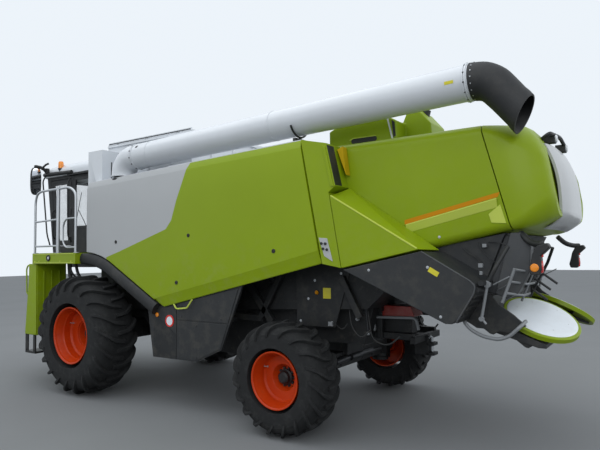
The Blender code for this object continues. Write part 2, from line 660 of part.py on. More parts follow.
# Lift cylinders of the feeder house: a barrel on the axle and a rod that slides in it
for word, side in sides:
    foot = Vector((LIFT_FOOT[0], side * LIFT_Y, LIFT_FOOT[1]))
    head = Vector((LIFT_HEAD[0], side * LIFT_Y, LIFT_HEAD[1]))
    reach = head - foot
    lift = empty(word + "_lift_pivot", foot, machine)
    barrel = rod(word + "_lift_barrel", foot + reach * 0.05, foot + reach * BARREL_SHARE, BARREL_RADIUS, 14)
    neck = rod("lift_neck_" + word, foot, foot + reach * 0.08, 0.035, 14)
    bore = rod("lift_bore_" + word, foot + reach * 0.15, foot + reach * (BARREL_SHARE + 0.1),
               LIFT_ROD_RADIUS + FIT, 14)
    eye = rod("lift_eye_" + word, foot + Vector((0, -0.045, 0)), foot + Vector((0, 0.045, 0)), 0.045, 14)
    keep(cut(join(barrel, eye, neck), bore), STEEL, lift)
    keep(rod(word + "_lift_rod", foot + reach * 0.30, head, LIFT_ROD_RADIUS, 14), CHROME, lift)

# Platform beside the cab, its rails and the ladder
platform_in = CAB_HALF + 0.03
base = box("left_platform", (PLATFORM_REAR, platform_in, PLATFORM_TOP - PLATFORM_DEPTH),
           (PLATFORM_FRONT, PLATFORM_OUT, PLATFORM_TOP))
more = [box("apron", (PLATFORM_FRONT - 0.05, platform_in, PLATFORM_TOP - 0.06),
            (1.70, 1.28, PLATFORM_TOP - 0.002))]
for x in (0.45, 1.05):
    more.append(box("bearer", (x, 0.60 + FIT, 2.02), (x + 0.10, CAB_HALF + 0.10, 2.12)))
keep(join(base, *more), GREEN)

rail = []
top = RAIL_TOP
start, end = PLATFORM_REAR + 0.03, PLATFORM_FRONT - 0.03
low = PLATFORM_TOP + FIT
post = rod("platform_rails", (0.60, RAIL_Y, low), (0.60, RAIL_Y, top + 0.03), 0.028, 8)
loop = tube("rail_loop", [(start, RAIL_Y, low), (start, RAIL_Y, top - 0.18),
                          (start + 0.05, RAIL_Y, top - 0.05),
                          (start + 0.16, RAIL_Y, top), (end - 0.16, RAIL_Y, top),
                          (end - 0.05, RAIL_Y, top - 0.05),
                          (end, RAIL_Y, top - 0.18), (end, RAIL_Y, low)], RAIL_RADIUS, 1)
rail.append(loop)
for z in (2.27, 2.68):
    rail.append(rod("rail_bar", (start, RAIL_Y, z), (end, RAIL_Y, z), RAIL_RADIUS * 0.85, 8))
keep(join(post, *rail), RAIL)

ladder = empty("ladder_pivot", (LADDER_X, LADDER_Y, 1.90), machine)
LADDER_IN = 1.00
LADDER_OUT = 1.55
ladder_top = PLATFORM_TOP - PLATFORM_DEPTH - FIT
stringer = [(1.22, ladder_top), (1.44, ladder_top), (1.44, 1.75), (1.545, 0.80), (1.545, 0.48), (1.25, 0.48),
            (1.20, 0.80)]
outer = plate("boarding_ladder", stringer, LADDER_OUT - 0.03, LADDER_OUT)
inner = plate("stringer_in", stringer, LADDER_IN, LADDER_IN + 0.03)
steps = []
for i in range(5):
    z = 0.49 + 0.30 * i
    steps.append(box("step", (1.235, LADDER_IN + 0.01, z), (1.50 - 0.02 * i, LADDER_OUT - 0.01, z + 0.035)))
keep(join(outer, inner, *steps), GREEN, ladder)

# Cab: hollow frame with its windows cut, roof, door, glass and the driver's place
cab_side = [(CAB_REAR, CAB_FLOOR), (CAB_FRONT, CAB_FLOOR), (CAB_FRONT + CAB_LEAN, CAB_EAVES),
            (CAB_REAR, CAB_EAVES)]
lean = CAB_LEAN / (CAB_EAVES - CAB_FLOOR)


def front_at(z, inset=0.0):
    """X of the cab's leaning front at a height."""
    return CAB_FRONT + lean * (z - CAB_FLOOR) - inset


def side_window(x_low, x_high_inset, z_low, z_high, x_high=None):
    """A side window's outline, its front edge leaning with the cab unless x_high is given."""
    front_low = front_at(z_low, x_high_inset) if x_high is None else x_high
    front_high = front_at(z_high, x_high_inset) if x_high is None else x_high
    return [(x_low, z_low), (front_low, z_low), (front_high, z_high), (x_low, z_high)]


cab = plate("cab_frame", cab_side, -CAB_HALF, CAB_HALF)
room_side = [(CAB_REAR + CAB_WALL, CAB_FLOOR + 0.06),
             (front_at(CAB_FLOOR + 0.06, CAB_WALL), CAB_FLOOR + 0.06),
             (front_at(CAB_EAVES + 0.1, CAB_WALL), CAB_EAVES + 0.1), (CAB_REAR + CAB_WALL, CAB_EAVES + 0.1)]
room = plate("cab_room", room_side, -CAB_HALF + CAB_WALL, CAB_HALF - CAB_WALL)
sill = CAB_FLOOR + 0.12
head = CAB_EAVES - 0.06
openings = [room]
door_hole = side_window(DOOR_REAR, 0.12, sill, head)
openings.append(plate("door_hole", door_hole, CAB_HALF - 0.2, CAB_HALF + 0.2))
quarter_hole = side_window(CAB_REAR + 0.10, 0, sill + 0.30, head, DOOR_REAR - 0.09)
openings.append(plate("quarter_hole", quarter_hole, CAB_HALF - 0.2, CAB_HALF + 0.2))
right_hole = side_window(CAB_REAR + 0.10, 0.09, sill + 0.12, head)
openings.append(plate("right_hole", right_hole, -CAB_HALF - 0.2, -CAB_HALF + 0.2))
openings.append(box("front_hole", (CAB_FRONT - 0.3, -CAB_HALF + 0.07, sill),
                    (CAB_FRONT + 0.6, CAB_HALF - 0.07, head)))
bearer = box("cab_bearer", (0.42 + FIT, -0.60, 1.90), (1.72, 0.60, CAB_FLOOR + 0.01))
keep(cut(join(cab, bearer), *openings), DARK)

roof = loft("cab_roof", [[(x, y, z) for x, y in ((a, -w), (b, -w), (b, w), (a, w))]
                         for z, a, b, w in ((CAB_EAVES + FIT, 0.46, 2.10, 0.93),
                                            (CAB_EAVES + 0.14, 0.42, 2.14, 0.94),
                                            (CAB_EAVES + 0.22, 0.50, 1.90, 0.84),
                                            (CAB_EAVES + 0.25, 0.62, 1.60, 0.66))])
keep(roof, PALE)


def inset_outline(outline, gap):
    """An outline drawn in towards its middle, for the pane or door that fits its hole."""
    count = len(outline)
    mid = (sum(p[0] for p in outline) / count, sum(p[1] for p in outline) / count)
    return [(x - math.copysign(gap, x - mid[0]), z - math.copysign(gap, z - mid[1])) for x, z in outline]


pane_y = CAB_HALF - CAB_WALL / 2
keep(plate("quarter_glass", inset_outline(quarter_hole, FIT), pane_y - GLASS / 2, pane_y + GLASS / 2), CLEAR)
keep(plate("right_glass", inset_outline(right_hole, FIT), -pane_y - GLASS / 2, -pane_y + GLASS / 2), CLEAR)
screen = [(front_at(sill + FIT, CAB_WALL * 0.6), sill + FIT),
          (front_at(sill + FIT, CAB_WALL * 0.6 - GLASS), sill + FIT),
          (front_at(head - FIT, CAB_WALL * 0.6 - GLASS), head - FIT),
          (front_at(head - FIT, CAB_WALL * 0.6), head - FIT)]
keep(plate("windscreen", screen, -CAB_HALF + 0.07 + FIT, CAB_HALF - 0.07 - FIT), CLEAR)

door_axis = empty("cab_door_hinge", (DOOR_REAR + 0.012, CAB_HALF, CAB_FLOOR), machine)
door_outline = [(x if x > DOOR_REAR + 0.1 else DOOR_REAR + FIT, z) for x,
                z in inset_outline(door_hole, 0.006)]
door = plate("cab_door", door_outline, CAB_HALF - 0.045, CAB_HALF)
door_window = inset_outline(door_hole, 0.065)
keep(cut(door, plate("door_window", door_window, CAB_HALF - 0.1, CAB_HALF + 0.1)), DARK, door_axis)
door_pane = inset_outline(door_hole, 0.065 + FIT)
keep(plate("door_glass", door_pane, CAB_HALF - 0.03, CAB_HALF - 0.03 + GLASS), CLEAR, door_axis)

seat_floor = CAB_FLOOR + 0.06 + FIT
seat = box("driver_seat", (0.78, -0.24, seat_floor + 0.34), (1.28, 0.24, seat_floor + 0.50))
back = box("seat_back", (0.72, -0.24, seat_floor + 0.36), (0.86, 0.24, seat_floor + 1.12))
pedestal = box("seat_pedestal", (0.88, -0.18, seat_floor), (1.18, 0.18, seat_floor + 0.36))
console = box("armrest_console", (0.90, -0.46, seat_floor), (1.40, -0.23, seat_floor + 0.58))
keep(join(seat, back, pedestal, console), SEATING)
column = rod("steering_column", (1.60, 0, seat_floor + 0.025), (1.44, 0, seat_floor + 0.62), 0.045, 12)
foot = box("column_foot", (1.50, -0.09, seat_floor), (1.70, 0.09, seat_floor + 0.05))
axis = Vector((-0.16, 0, 0.62)).normalized()
hub = Vector((1.44, 0, seat_floor + 0.62))
ring = rod("steering_wheel", hub - axis * 0.012, hub + axis * 0.018, 0.20, 20)
keep(join(column, foot, ring), DARK)

# Mirrors on arms from the roof
for word, side in sides:
    base = (1.90, side * 0.965, CAB_EAVES + 0.13)
    ys = sorted((side * (0.94 + FIT), side * 1.0))
    foot = box("mirror_foot_" + word, (1.86, ys[0], CAB_EAVES + 0.09), (1.94, ys[1], CAB_EAVES + 0.17))
    arm = tube("arm_" + word, [base, (1.93, side * 1.05, CAB_EAVES + 0.17),
                               (1.945, side * 1.17, CAB_EAVES + 0.19)], 0.03)
    ys = sorted((side * 1.07, side * 1.27))
    glass = box(word + "_mirror", (1.91, ys[0], 3.22), (1.98, ys[1], CAB_EAVES + 0.21))
    keep(join(glass, arm, foot), DARK)

# Unloading auger: a tube that swings about an upright axis, lying back along the tank at rest
swing = empty("auger_pivot", (AUGER_X, AUGER_Y, AUGER_Z), machine)
along = Vector((-1, 0, AUGER_RISE)).normalized()


def auger_point(x):
    """A point of the tube's centre line."""
    return Vector((x, AUGER_Y, AUGER_Z + AUGER_RISE * (AUGER_X - x)))


pipe = rod("auger_tube", auger_point(AUGER_X + 0.12), auger_point(SPOUT_X), AUGER_RADIUS, 24)
riser = rod("auger_riser", (AUGER_X, AUGER_Y, AUGER_BASE_TOP + FIT), (AUGER_X, AUGER_Y, AUGER_Z + 0.02),
            AUGER_RADIUS - 0.004, 24)
bore = rod("auger_bore", auger_point(SPOUT_X + 1.2), auger_point(SPOUT_X - 0.1), AUGER_RADIUS - AUGER_WALL,
           24)
keep(cut(join(pipe, riser), bore), PALE, swing)


def ring_points(centre, normal, radius, count=20):
    """A circle of points about a centre, square to a normal in the tube's upright plane."""
    across = Vector((0, 1, 0))
    up = normal.cross(across)
    turns = [2 * math.pi * i / count for i in range(count)]
    return [centre + (across * math.cos(t) + up * math.sin(t)) * radius for t in turns]


def spout_shell(name, radius, reach):
    """The spout bends down through rings that turn from the tube's line to its mouth."""
    root = auger_point(SPOUT_X)
    bends = [(-reach, 0.0, along), (0.13, -0.015, Vector((-1, 0, -0.30))),
             (0.24, -0.095, Vector((-1, 0, -0.75))),
             (0.475 + reach, -0.40 - reach, Vector((-1, 0, -0.45)))]
    rings = []
    for forward, drop, normal in bends:
        rings.append(ring_points(root + Vector((-forward, 0, drop)), normal.normalized(), radius))
    return loft(name, rings)


spout = spout_shell("auger_spout", AUGER_RADIUS + 0.004, -0.0003)
spout_bore = spout_shell("spout_bore", AUGER_RADIUS - 0.010, 0.06)
keep(cut(spout, spout_bore), DARK, swing)


def span(axis_index):
    """The lowest and highest place of all nodes along one axis."""
    bpy.context.view_layer.update()
    graph = bpy.context.evaluated_depsgraph_get()
    found = []
    for obj in parts.all_objects:
        if obj.type != "MESH":
            continue
        ready = obj.evaluated_get(graph)
        found += [(ready.matrix_world @ Vector(corner))[axis_index] for corner in ready.bound_box]
    return min(found), max(found)


lowest, highest = span(0)
machine.location.x = round(-(lowest + highest) / 2, 3)
for obj in parts.all_objects:
    if obj.type == "MESH":
        obj.data.set_sharp_from_angle(angle=math.radians(35))
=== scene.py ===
import json
import math
from math import cos, sin
import bpy
import bmesh
import numpy as np
from mathutils import Matrix, Vector

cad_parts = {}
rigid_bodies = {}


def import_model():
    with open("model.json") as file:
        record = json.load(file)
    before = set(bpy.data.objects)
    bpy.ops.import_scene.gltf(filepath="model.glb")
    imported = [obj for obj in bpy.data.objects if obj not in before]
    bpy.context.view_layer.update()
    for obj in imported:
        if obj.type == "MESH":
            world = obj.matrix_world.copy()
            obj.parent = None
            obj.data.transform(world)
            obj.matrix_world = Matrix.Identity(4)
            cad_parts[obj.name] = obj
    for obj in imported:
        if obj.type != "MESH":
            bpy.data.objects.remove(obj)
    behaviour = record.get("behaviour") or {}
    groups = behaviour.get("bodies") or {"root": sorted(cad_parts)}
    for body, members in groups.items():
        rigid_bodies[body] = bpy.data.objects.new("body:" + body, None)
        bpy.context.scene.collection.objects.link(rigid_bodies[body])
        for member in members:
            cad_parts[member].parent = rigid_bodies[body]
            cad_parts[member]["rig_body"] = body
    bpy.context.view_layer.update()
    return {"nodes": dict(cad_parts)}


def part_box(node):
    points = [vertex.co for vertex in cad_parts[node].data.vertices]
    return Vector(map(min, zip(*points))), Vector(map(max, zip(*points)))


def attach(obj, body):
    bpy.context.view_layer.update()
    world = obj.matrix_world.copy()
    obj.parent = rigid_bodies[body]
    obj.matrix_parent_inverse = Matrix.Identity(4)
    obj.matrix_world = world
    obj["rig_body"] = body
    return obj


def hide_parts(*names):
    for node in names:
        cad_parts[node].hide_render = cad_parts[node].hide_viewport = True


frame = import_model()
nodes = frame["nodes"]
print("frame loaded:", len(nodes), "nodes")

# Every piece is drawn in the machine's frame, whose X zero is the front axle
tyreLow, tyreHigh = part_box("front_left_tyre")
axleX = (tyreLow.x + tyreHigh.x) / 2
frontZ = (tyreLow.z + tyreHigh.z) / 2
rearLow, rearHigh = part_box("rear_left_tyre")
rearX = (rearLow.x + rearHigh.x) / 2 - axleX
rearZ = (rearLow.z + rearHigh.z) / 2
trackHalf = (tyreLow.y + tyreHigh.y) / 2
bothSides = (("left", 1), ("right", -1))


# Shader maths: Val wraps a socket, so that expressions add their own Math nodes
class Val:
    def __init__(self, finish, socket):
        self.finish = finish
        self.socket = socket

    def maths(self, operation, a, b=None):
        sockets = {0: a}
        if b is not None:
            sockets[1] = b
        return self.finish.node("ShaderNodeMath", {"operation": operation}, sockets)[0]

    def __add__(self, other):
        return self.maths("ADD", self, other)

    def __radd__(self, other):
        return self.maths("ADD", other, self)

    def __sub__(self, other):
        return self.maths("SUBTRACT", self, other)

    def __rsub__(self, other):
        return self.maths("SUBTRACT", other, self)

    def __mul__(self, other):
        return self.maths("MULTIPLY", self, other)

    def __rmul__(self, other):
        return self.maths("MULTIPLY", other, self)

    def sine(self):
        return self.maths("SINE", self)

    def ramp(self, low, high):
        # 0 below low, 1 above high, straight between
        made = self.finish.node("ShaderNodeMapRange", {"clamp": True},
                {0: self, 1: low, 2: high, 3: 0.0, 4: 1.0})
        return made[0]


class Finish:
    def __init__(self, name):
        self.material = bpy.data.materials.new(name)
        self.material.use_nodes = True
        self.tree = self.material.node_tree
        self.shader = self.tree.nodes["Principled BSDF"]
        self.object = Val(self, self.tree.nodes.new("ShaderNodeTexCoord").outputs["Object"])
        parts = self.node("ShaderNodeSeparateXYZ", {}, {0: self.object})
        self.x, self.y, self.z = parts[0] - axleX, parts[1], parts[2]

    def node(self, kind, settings, sockets):
        # adds any node: its settings first, then the values or links of its sockets; returns its outputs
        made = self.tree.nodes.new(kind)
        for key, value in settings.items():
            if key == "stops":
                ramp = made.color_ramp
                while len(ramp.elements) < len(value):
                    ramp.elements.new(0.5)
                for element, (place, colour) in zip(ramp.elements, value):
                    element.position = place
                    element.color = (*colour, 1.0)
            else:
                setattr(made, key, value)
        for key, value in sockets.items():
            self.feed(made.inputs[key], value)
        return [Val(self, output) for output in made.outputs]

    def feed(self, socket, value):
        if isinstance(value, Val):
            self.tree.links.new(value.socket, socket)
        elif isinstance(value, tuple) and len(value) == 3 and socket.type == "RGBA":
            socket.default_value = (*value, 1.0)
        else:
            socket.default_value = value

    def noise(self, scale, detail=3.0, roughness=0.55, distortion=0.0, stretch=None):
        where = self.object
        if stretch:
            where = self.node("ShaderNodeMapping", {}, {0: self.object, 3: stretch})[0]
        made = self.node("ShaderNodeTexNoise", {}, {"Vector": where, "Scale": scale, "Detail": detail,
                                                    "Roughness": roughness, "Distortion": distortion})
        return made[0]

    def cells(self, scale, feature="F1"):
        made = self.node("ShaderNodeTexVoronoi", {"feature": feature},
                {"Vector": self.object, "Scale": scale})
        return made[0]

    def blend(self, share, first, second):
        # first where share is 0, second where it is 1
        made = self.node("ShaderNodeMix", {"data_type": "RGBA"}, {0: share, 6: first, 7: second})
        return made[2]

    def bump(self, height, strength, distance):
        made = self.node("ShaderNodeBump", {}, {"Strength": strength, "Distance": distance, "Height": height})
        self.feed(self.shader.inputs["Normal"], made[0])

    def set(self, **values):
        names = {"colour": "Base Color", "roughness": "Roughness", "metallic": "Metallic",
                 "coat": "Coat Weight",
                 "coatRoughness": "Coat Roughness", "alpha": "Alpha", "ior": "IOR", "glow": "Emission Color",
                 "glowStrength": "Emission Strength", "sheen": "Sheen Weight", "shine": "Specular IOR Level"}
        for key, value in values.items():
            self.feed(self.shader.inputs[names[key]], value)
        return self.material


dustColour = (0.3, 0.27, 0.21)


def paint(name, colour, roughness=0.32, coat=0.35, dust=0.35, fleck=0.06, shine=0.5):
    # sprayed panel: slow tone drift, a faint orange peel, and dust that thickens towards the ground
    made = Finish(name)
    drift = made.noise(1.7, 3.0)
    darker = tuple(c * (1 - fleck) for c in colour)
    lighter = tuple(min(1.0, c * (1 + fleck)) for c in colour)
    tone = made.blend(drift, darker, lighter)
    grime = made.noise(9.0, 5.0, 0.65).ramp(0.42, 0.78) * (1 - made.z.ramp(0.3, 2.6) * 0.8) * dust
    tone = made.blend(grime, tone, dustColour)
    rough = made.noise(23.0, 4.0) * 0.12 + (roughness - 0.06) + grime * 0.35
    made.bump(made.noise(160.0, 2.0) + made.noise(2.2, 2.0) * 3.0, 0.1, 0.002)
    return made.set(colour=tone, roughness=rough, coat=coat, coatRoughness=0.12, shine=shine)


def moulded(name, colour, roughness=0.62, grain=420.0, dust=0.5):
    # grained plastic and coated sheet, with pale dust in its hollows
    made = Finish(name)
    grains = made.cells(grain)
    drift = made.noise(3.1, 4.0)
    tone = made.blend(drift, tuple(c * 0.8 for c in colour), tuple(c * 1.25 for c in colour))
    grime = made.noise(7.0, 6.0, 0.7).ramp(0.48, 0.8) * (1 - made.z.ramp(0.4, 2.8) * 0.7) * dust
    tone = made.blend(grime, tone, tuple(c * 0.35 for c in dustColour))
    made.bump(grains + made.noise(60.0, 3.0) * 0.5, 0.22, 0.0012)
    return made.set(colour=tone, roughness=made.noise(30.0, 3.0) * 0.14 + (roughness - 0.07))


def castMetal(name, colour, roughness=0.55, metallic=0.3):
    # rough castings under black paint, with oily patches and dust on top
    made = Finish(name)
    patch = made.noise(5.0, 5.0, 0.6)
    tone = made.blend(patch.ramp(0.35, 0.75), tuple(c * 0.6 for c in colour), tuple(c * 1.5 for c in colour))
    grime = made.noise(14.0, 5.0, 0.7).ramp(0.55, 0.85) * 0.5
    tone = made.blend(grime, tone, tuple(c * 0.4 for c in dustColour))
    made.bump(made.noise(90.0, 4.0), 0.35, 0.003)
    return made.set(colour=tone, roughness=roughness + patch * 0.2 - 0.1, metallic=metallic)


def brightMetal(name, colour, roughness=0.2, metallic=1.0):
    # plated or bare metal with fine drawn lines
    made = Finish(name)
    lines = made.noise(70.0, 3.0, stretch=(0.3, 6.0, 6.0))
    tone = made.blend(lines, tuple(c * 0.85 for c in colour), colour)
    made.bump(lines, 0.06, 0.001)
    return made.set(colour=tone, roughness=lines * 0.12 + roughness - 0.06, metallic=metallic)


def treadRubber():
    # black rubber: fine pores, scuffed pale high spots and dried mud low in the tread
    made = Finish("treadRubber")
    scuff = made.noise(11.0, 6.0, 0.7).ramp(0.5, 0.78)
    tone = made.blend(scuff, (0.0075, 0.008, 0.0085), (0.022, 0.0225, 0.022))
    mud = made.noise(4.0, 6.0, 0.75).ramp(0.56, 0.8) * (1 - made.z.ramp(0.0, 0.9)) * 0.55
    tone = made.blend(mud, tone, (0.05, 0.045, 0.037))
    made.bump(made.noise(170.0, 4.0) + made.noise(26.0, 4.0) * 1.4, 0.3, 0.002)
    return made.set(colour=tone, roughness=0.86 - scuff * 0.12)


def rimPaint():
    # thick orange-red enamel, darker where dust has settled in the dish
    made = Finish("rimPaint")
    drift = made.noise(6.0, 4.0)
    tone = made.blend(drift, (0.4, 0.024, 0.001), (0.52, 0.048, 0.002))
    grime = made.noise(16.0, 6.0, 0.7).ramp(0.56, 0.82) * 0.35
    tone = made.blend(grime, tone, (0.16, 0.07, 0.035))
    made.bump(made.noise(120.0, 3.0), 0.12, 0.0015)
    return made.set(colour=tone, roughness=0.38 + grime * 0.4, coat=0.06, coatRoughness=0.15, shine=0.25)


leafGreen = (0.225, 0.315, 0.003)
silverTone = (0.4, 0.41, 0.415)
paleTone = (0.6, 0.625, 0.655)
darkTone = (0.01, 0.011, 0.012)


def sidePanelPaint():
    # silver ahead of a slanting line and leaf green behind it: the line is a sum of ramps over the height
    made = Finish("sidePanelPaint")
    z = made.z
    line = (-0.53 - z.ramp(2.075, 2.16) * 0.32 - z.ramp(2.16, 2.45) * 0.99 - z.ramp(2.45, 2.57) * 0.11
            - z.ramp(2.57, 2.84) * 0.1 - z.ramp(2.84, 3.33) * 0.23)
    silver = (made.x - line).ramp(-0.003, 0.003)
    drift = made.noise(1.3, 3.0)
    green = made.blend(drift, tuple(c * 0.93 for c in leafGreen), tuple(c * 1.07 for c in leafGreen))
    grey = made.blend(drift, tuple(c * 0.96 for c in silverTone), tuple(c * 1.04 for c in silverTone))
    tone = made.blend(silver, green, grey)
    grime = made.noise(8.0, 6.0, 0.7).ramp(0.5, 0.8) * (1 - made.z.ramp(1.3, 2.5)) * 0.3
    tone = made.blend(grime, tone, dustColour)
    made.bump(made.noise(150.0, 2.0) + made.noise(1.6, 2.0) * 4.0, 0.1, 0.002)
    return made.set(colour=tone, roughness=0.38 + grime * 0.4 + drift * 0.06, coat=0.05, coatRoughness=0.15,
                    shine=0.24)


def platedTread():
    # raised studs of a tread plate, in two crossing rows, painted paler on top as a painted highlight
    made = Finish("platedTread")
    u = (made.x + made.y) * 78.0
    v = (made.x - made.y) * 78.0
    stud = (u.sine() * v.sine()).ramp(0.45, 0.8)
    # stud tops painted paler than the plate between them: painted highlight
    tone = made.blend(stud, (0.1, 0.15, 0.012), (0.3, 0.33, 0.16))
    grime = made.noise(12.0, 5.0).ramp(0.5, 0.8)
    tone = made.blend(grime * 0.5, tone, dustColour)
    made.bump(stud, 0.8, 0.004)
    return made.set(colour=tone, roughness=0.55 - stud * 0.15, metallic=0.25)


def clearGlass(name, colour, alpha):
    # tinted glazing with a faint film of dust
    made = Finish(name)
    film = made.noise(5.0, 5.0).ramp(0.45, 0.8)
    made.material.surface_render_method = "DITHERED"
    return made.set(colour=made.blend(film * 0.3, colour, (0.5, 0.5, 0.47)), roughness=0.04 + film * 0.1,
                    alpha=alpha + film * 0.08, ior=1.5)


def lens(name, colour, glow=0.0):
    # ribbed lamp lens
    made = Finish(name)
    ribs = (made.z * 620.0).sine() * 0.5 + (made.y * 620.0).sine() * 0.5
    made.bump(ribs, 0.35, 0.0015)
    tone = made.blend(made.noise(20.0, 3.0), tuple(c * 0.8 for c in colour), colour)
    return made.set(colour=tone, roughness=0.16, coat=0.8, glow=colour, glowStrength=glow)


def seatCloth():
    # woven seat cover: two crossing waves make the weave, with paler worn tops
    made = Finish("seatCloth")
    weave = (made.x * 900.0).sine() * (made.y * 900.0).sine() + (made.z * 900.0).sine() * 0.5
    tone = made.blend(made.noise(14.0, 4.0), (0.03, 0.031, 0.034), (0.065, 0.066, 0.07))
    made.bump(weave, 0.4, 0.001)
    return made.set(colour=tone, roughness=0.92, sheen=0.3)


green = paint("leafGreenPaint", leafGreen, 0.42, coat=0.05, dust=0.2, shine=0.22)
# a paler copy of the leaf green for edges, ledges, louvres and grips that catch the light: painted highlight
highlightGreen = paint("leafGreenPaintedHighlight", (0.46, 0.54, 0.075), 0.42, coat=0.05, dust=0.15, shine=0.3)
panelPaint = sidePanelPaint()
silver = paint("silverPaint", silverTone, 0.36)
pale = paint("paleGreyPaint", paleTone, 0.34, dust=0.2)
white = paint("whitePaint", (0.72, 0.76, 0.8), 0.3, dust=0.15)
orange = paint("orangeStripe", (0.52, 0.21, 0.001), 0.45, coat=0.0, dust=0.05, shine=0.15)
amberStrip = paint("amberStrip", (0.5, 0.33, 0.006), 0.5, coat=0.0, dust=0.05, shine=0.15)
red = paint("redPaint", (0.28, 0.018, 0.012), 0.4)
yellow = paint("yellowLabel", (0.62, 0.55, 0.02), 0.45, coat=0.0)
dark = moulded("darkMoulded", darkTone)
darkSheet = moulded("darkSheet", (0.017, 0.0185, 0.02), 0.58, 900.0)
blackPart = moulded("blackMoulded", (0.01, 0.011, 0.012), 0.55)
iron = castMetal("blackCasting", (0.018, 0.019, 0.02))
steel = castMetal("darkSteel", (0.05, 0.052, 0.056), 0.42, 0.6)
zinc = brightMetal("zincTube", (0.55, 0.57, 0.59), 0.38, 0.75)
chrome = brightMetal("chromedRod", (0.72, 0.72, 0.73), 0.1)
greyTube = brightMetal("greyTube", (0.24, 0.25, 0.26), 0.5, 0.3)
rubber = treadRubber()
rimColour = rimPaint()
treadPlate = platedTread()
glazing = clearGlass("cabGlazing", (0.3, 0.33, 0.34), 0.1)
mirrorFace = brightMetal("mirrorFace", (0.75, 0.78, 0.82), 0.06)
amberLens = lens("amberLens", (0.85, 0.26, 0.002), 0.05)
redLens = lens("redLens", (0.62, 0.02, 0.012), 0.1)
clearLens = lens("clearLens", (0.65, 0.68, 0.7))
cloth = seatCloth()
print("finishes made:", len(bpy.data.materials))


# Shapes: a part is (points, [faces]), each faces array holding polygons with one number of corners
def gridFaces(rows, columns, wrapRows=False, wrapColumns=False):
    # quads between neighbouring points of a rows by columns grid, closed round either way if asked
    i, j = np.meshgrid(np.arange(rows if wrapRows else rows - 1),
            np.arange(columns if wrapColumns else columns - 1),
                       indexing="ij")
    iNext, jNext = (i + 1) % rows, (j + 1) % columns
    quads = np.stack([i * columns + j, i * columns + jNext, iNext * columns + jNext, iNext * columns + j], -1)
    return quads.reshape(-1, 4)


def gridPart(points, wrapRows=False, wrapColumns=True, caps=True):
    # points[row, column] joined into a skin; with wrapped columns each end ring is capped by one polygon
    rows, columns = points.shape[:2]
    faces = [gridFaces(rows, columns, wrapRows, wrapColumns)]
    if caps and wrapColumns and not wrapRows:
        first = np.arange(columns)[None, ::-1]
        faces += [first, first[:, ::-1] + (rows - 1) * columns]
    return points.reshape(-1, 3), faces


def joined(parts):
    # one list of points and faces from many, with each part's faces counted on from the last
    points, faces, start = [], [], 0
    for partPoints, partFaces in parts:
        points.append(partPoints)
        faces += [f + start for f in partFaces]
        start += len(partPoints)
    return np.concatenate(points), faces


def sideSpan(side, inner, outer):
    # two distances from the middle as a low and a high y on one side
    return sorted((side * inner, side * outer))


def boxPart(low, high):
    # the eight corners low + (0 or 1) * (high - low), and six outward faces
    low, high = np.array(low, float), np.array(high, float)
    corners = np.array([[x, y, z] for z in (0, 1) for x, y in ((0, 0), (1, 0), (1, 1), (0, 1))])
    faces = np.array([[3, 2, 1, 0], [4, 5, 6, 7], [0, 1, 5, 4], [1, 2, 6, 5], [2, 3, 7, 6], [3, 0, 4, 7]])
    return low + corners * (high - low), [faces]


def prismPart(outline, low, high, axis="y"):
    # a flat outline given thickness: (x, z) along y, (y, z) along x or (x, y) along z
    flat = np.array(outline, float)
    ends = []
    for level in (low, high):
        third = np.full(len(flat), level)
        columns = {"y": (flat[:, 0], third, flat[:, 1]), "x": (third, flat[:, 0], flat[:, 1]),
                   "z": (flat[:, 0], flat[:, 1], third)}[axis]
        ends.append(np.stack(columns, -1))
    return gridPart(np.stack(ends))


def turnedPart(profile, centre, axis=(0, 1, 0), sides=48):
    # (radius, along) pairs turned about an axis; the profile is closed unless both ends lie on the axis
    centre, axis = np.array(centre, float), np.array(axis, float)
    axis = axis / np.linalg.norm(axis)
    helper = np.array([0.0, 0.0, 1.0]) if abs(axis[2]) < 0.9 else np.array([1.0, 0.0, 0.0])
    across = np.cross(axis, helper)
    across /= np.linalg.norm(across)
    up = np.cross(axis, across)
    profile = np.array(profile, float)
    angles = np.linspace(0, 2 * np.pi, sides, endpoint=False)
    ring = np.cos(angles)[:, None] * across + np.sin(angles)[:, None] * up
    points = centre + profile[:, 0][:, None, None] * ring + profile[:, 1][:, None, None] * axis
    onAxis = profile[0, 0] < 1e-6 and profile[-1, 0] < 1e-6
    return gridPart(points, wrapRows=not onAxis, caps=False)


def bentPath(corners, bend=0.06, steps=6):
    # a polyline whose corners are rounded by quadratic curves that start bend before each corner
    corners = np.array(corners, float)
    path = [corners[:1]]
    t = np.linspace(0, 1, steps)[:, None]
    for before, corner, after in zip(corners, corners[1:], corners[2:]):
        inward, outward = before - corner, after - corner
        reach = min(bend, np.linalg.norm(inward) * 0.48, np.linalg.norm(outward) * 0.48)
        a = corner + inward / np.linalg.norm(inward) * reach
        b = corner + outward / np.linalg.norm(outward) * reach
        path.append((1 - t) ** 2 * a + 2 * t * (1 - t) * corner + t ** 2 * b)
    path.append(corners[-1:])
    return np.concatenate(path)


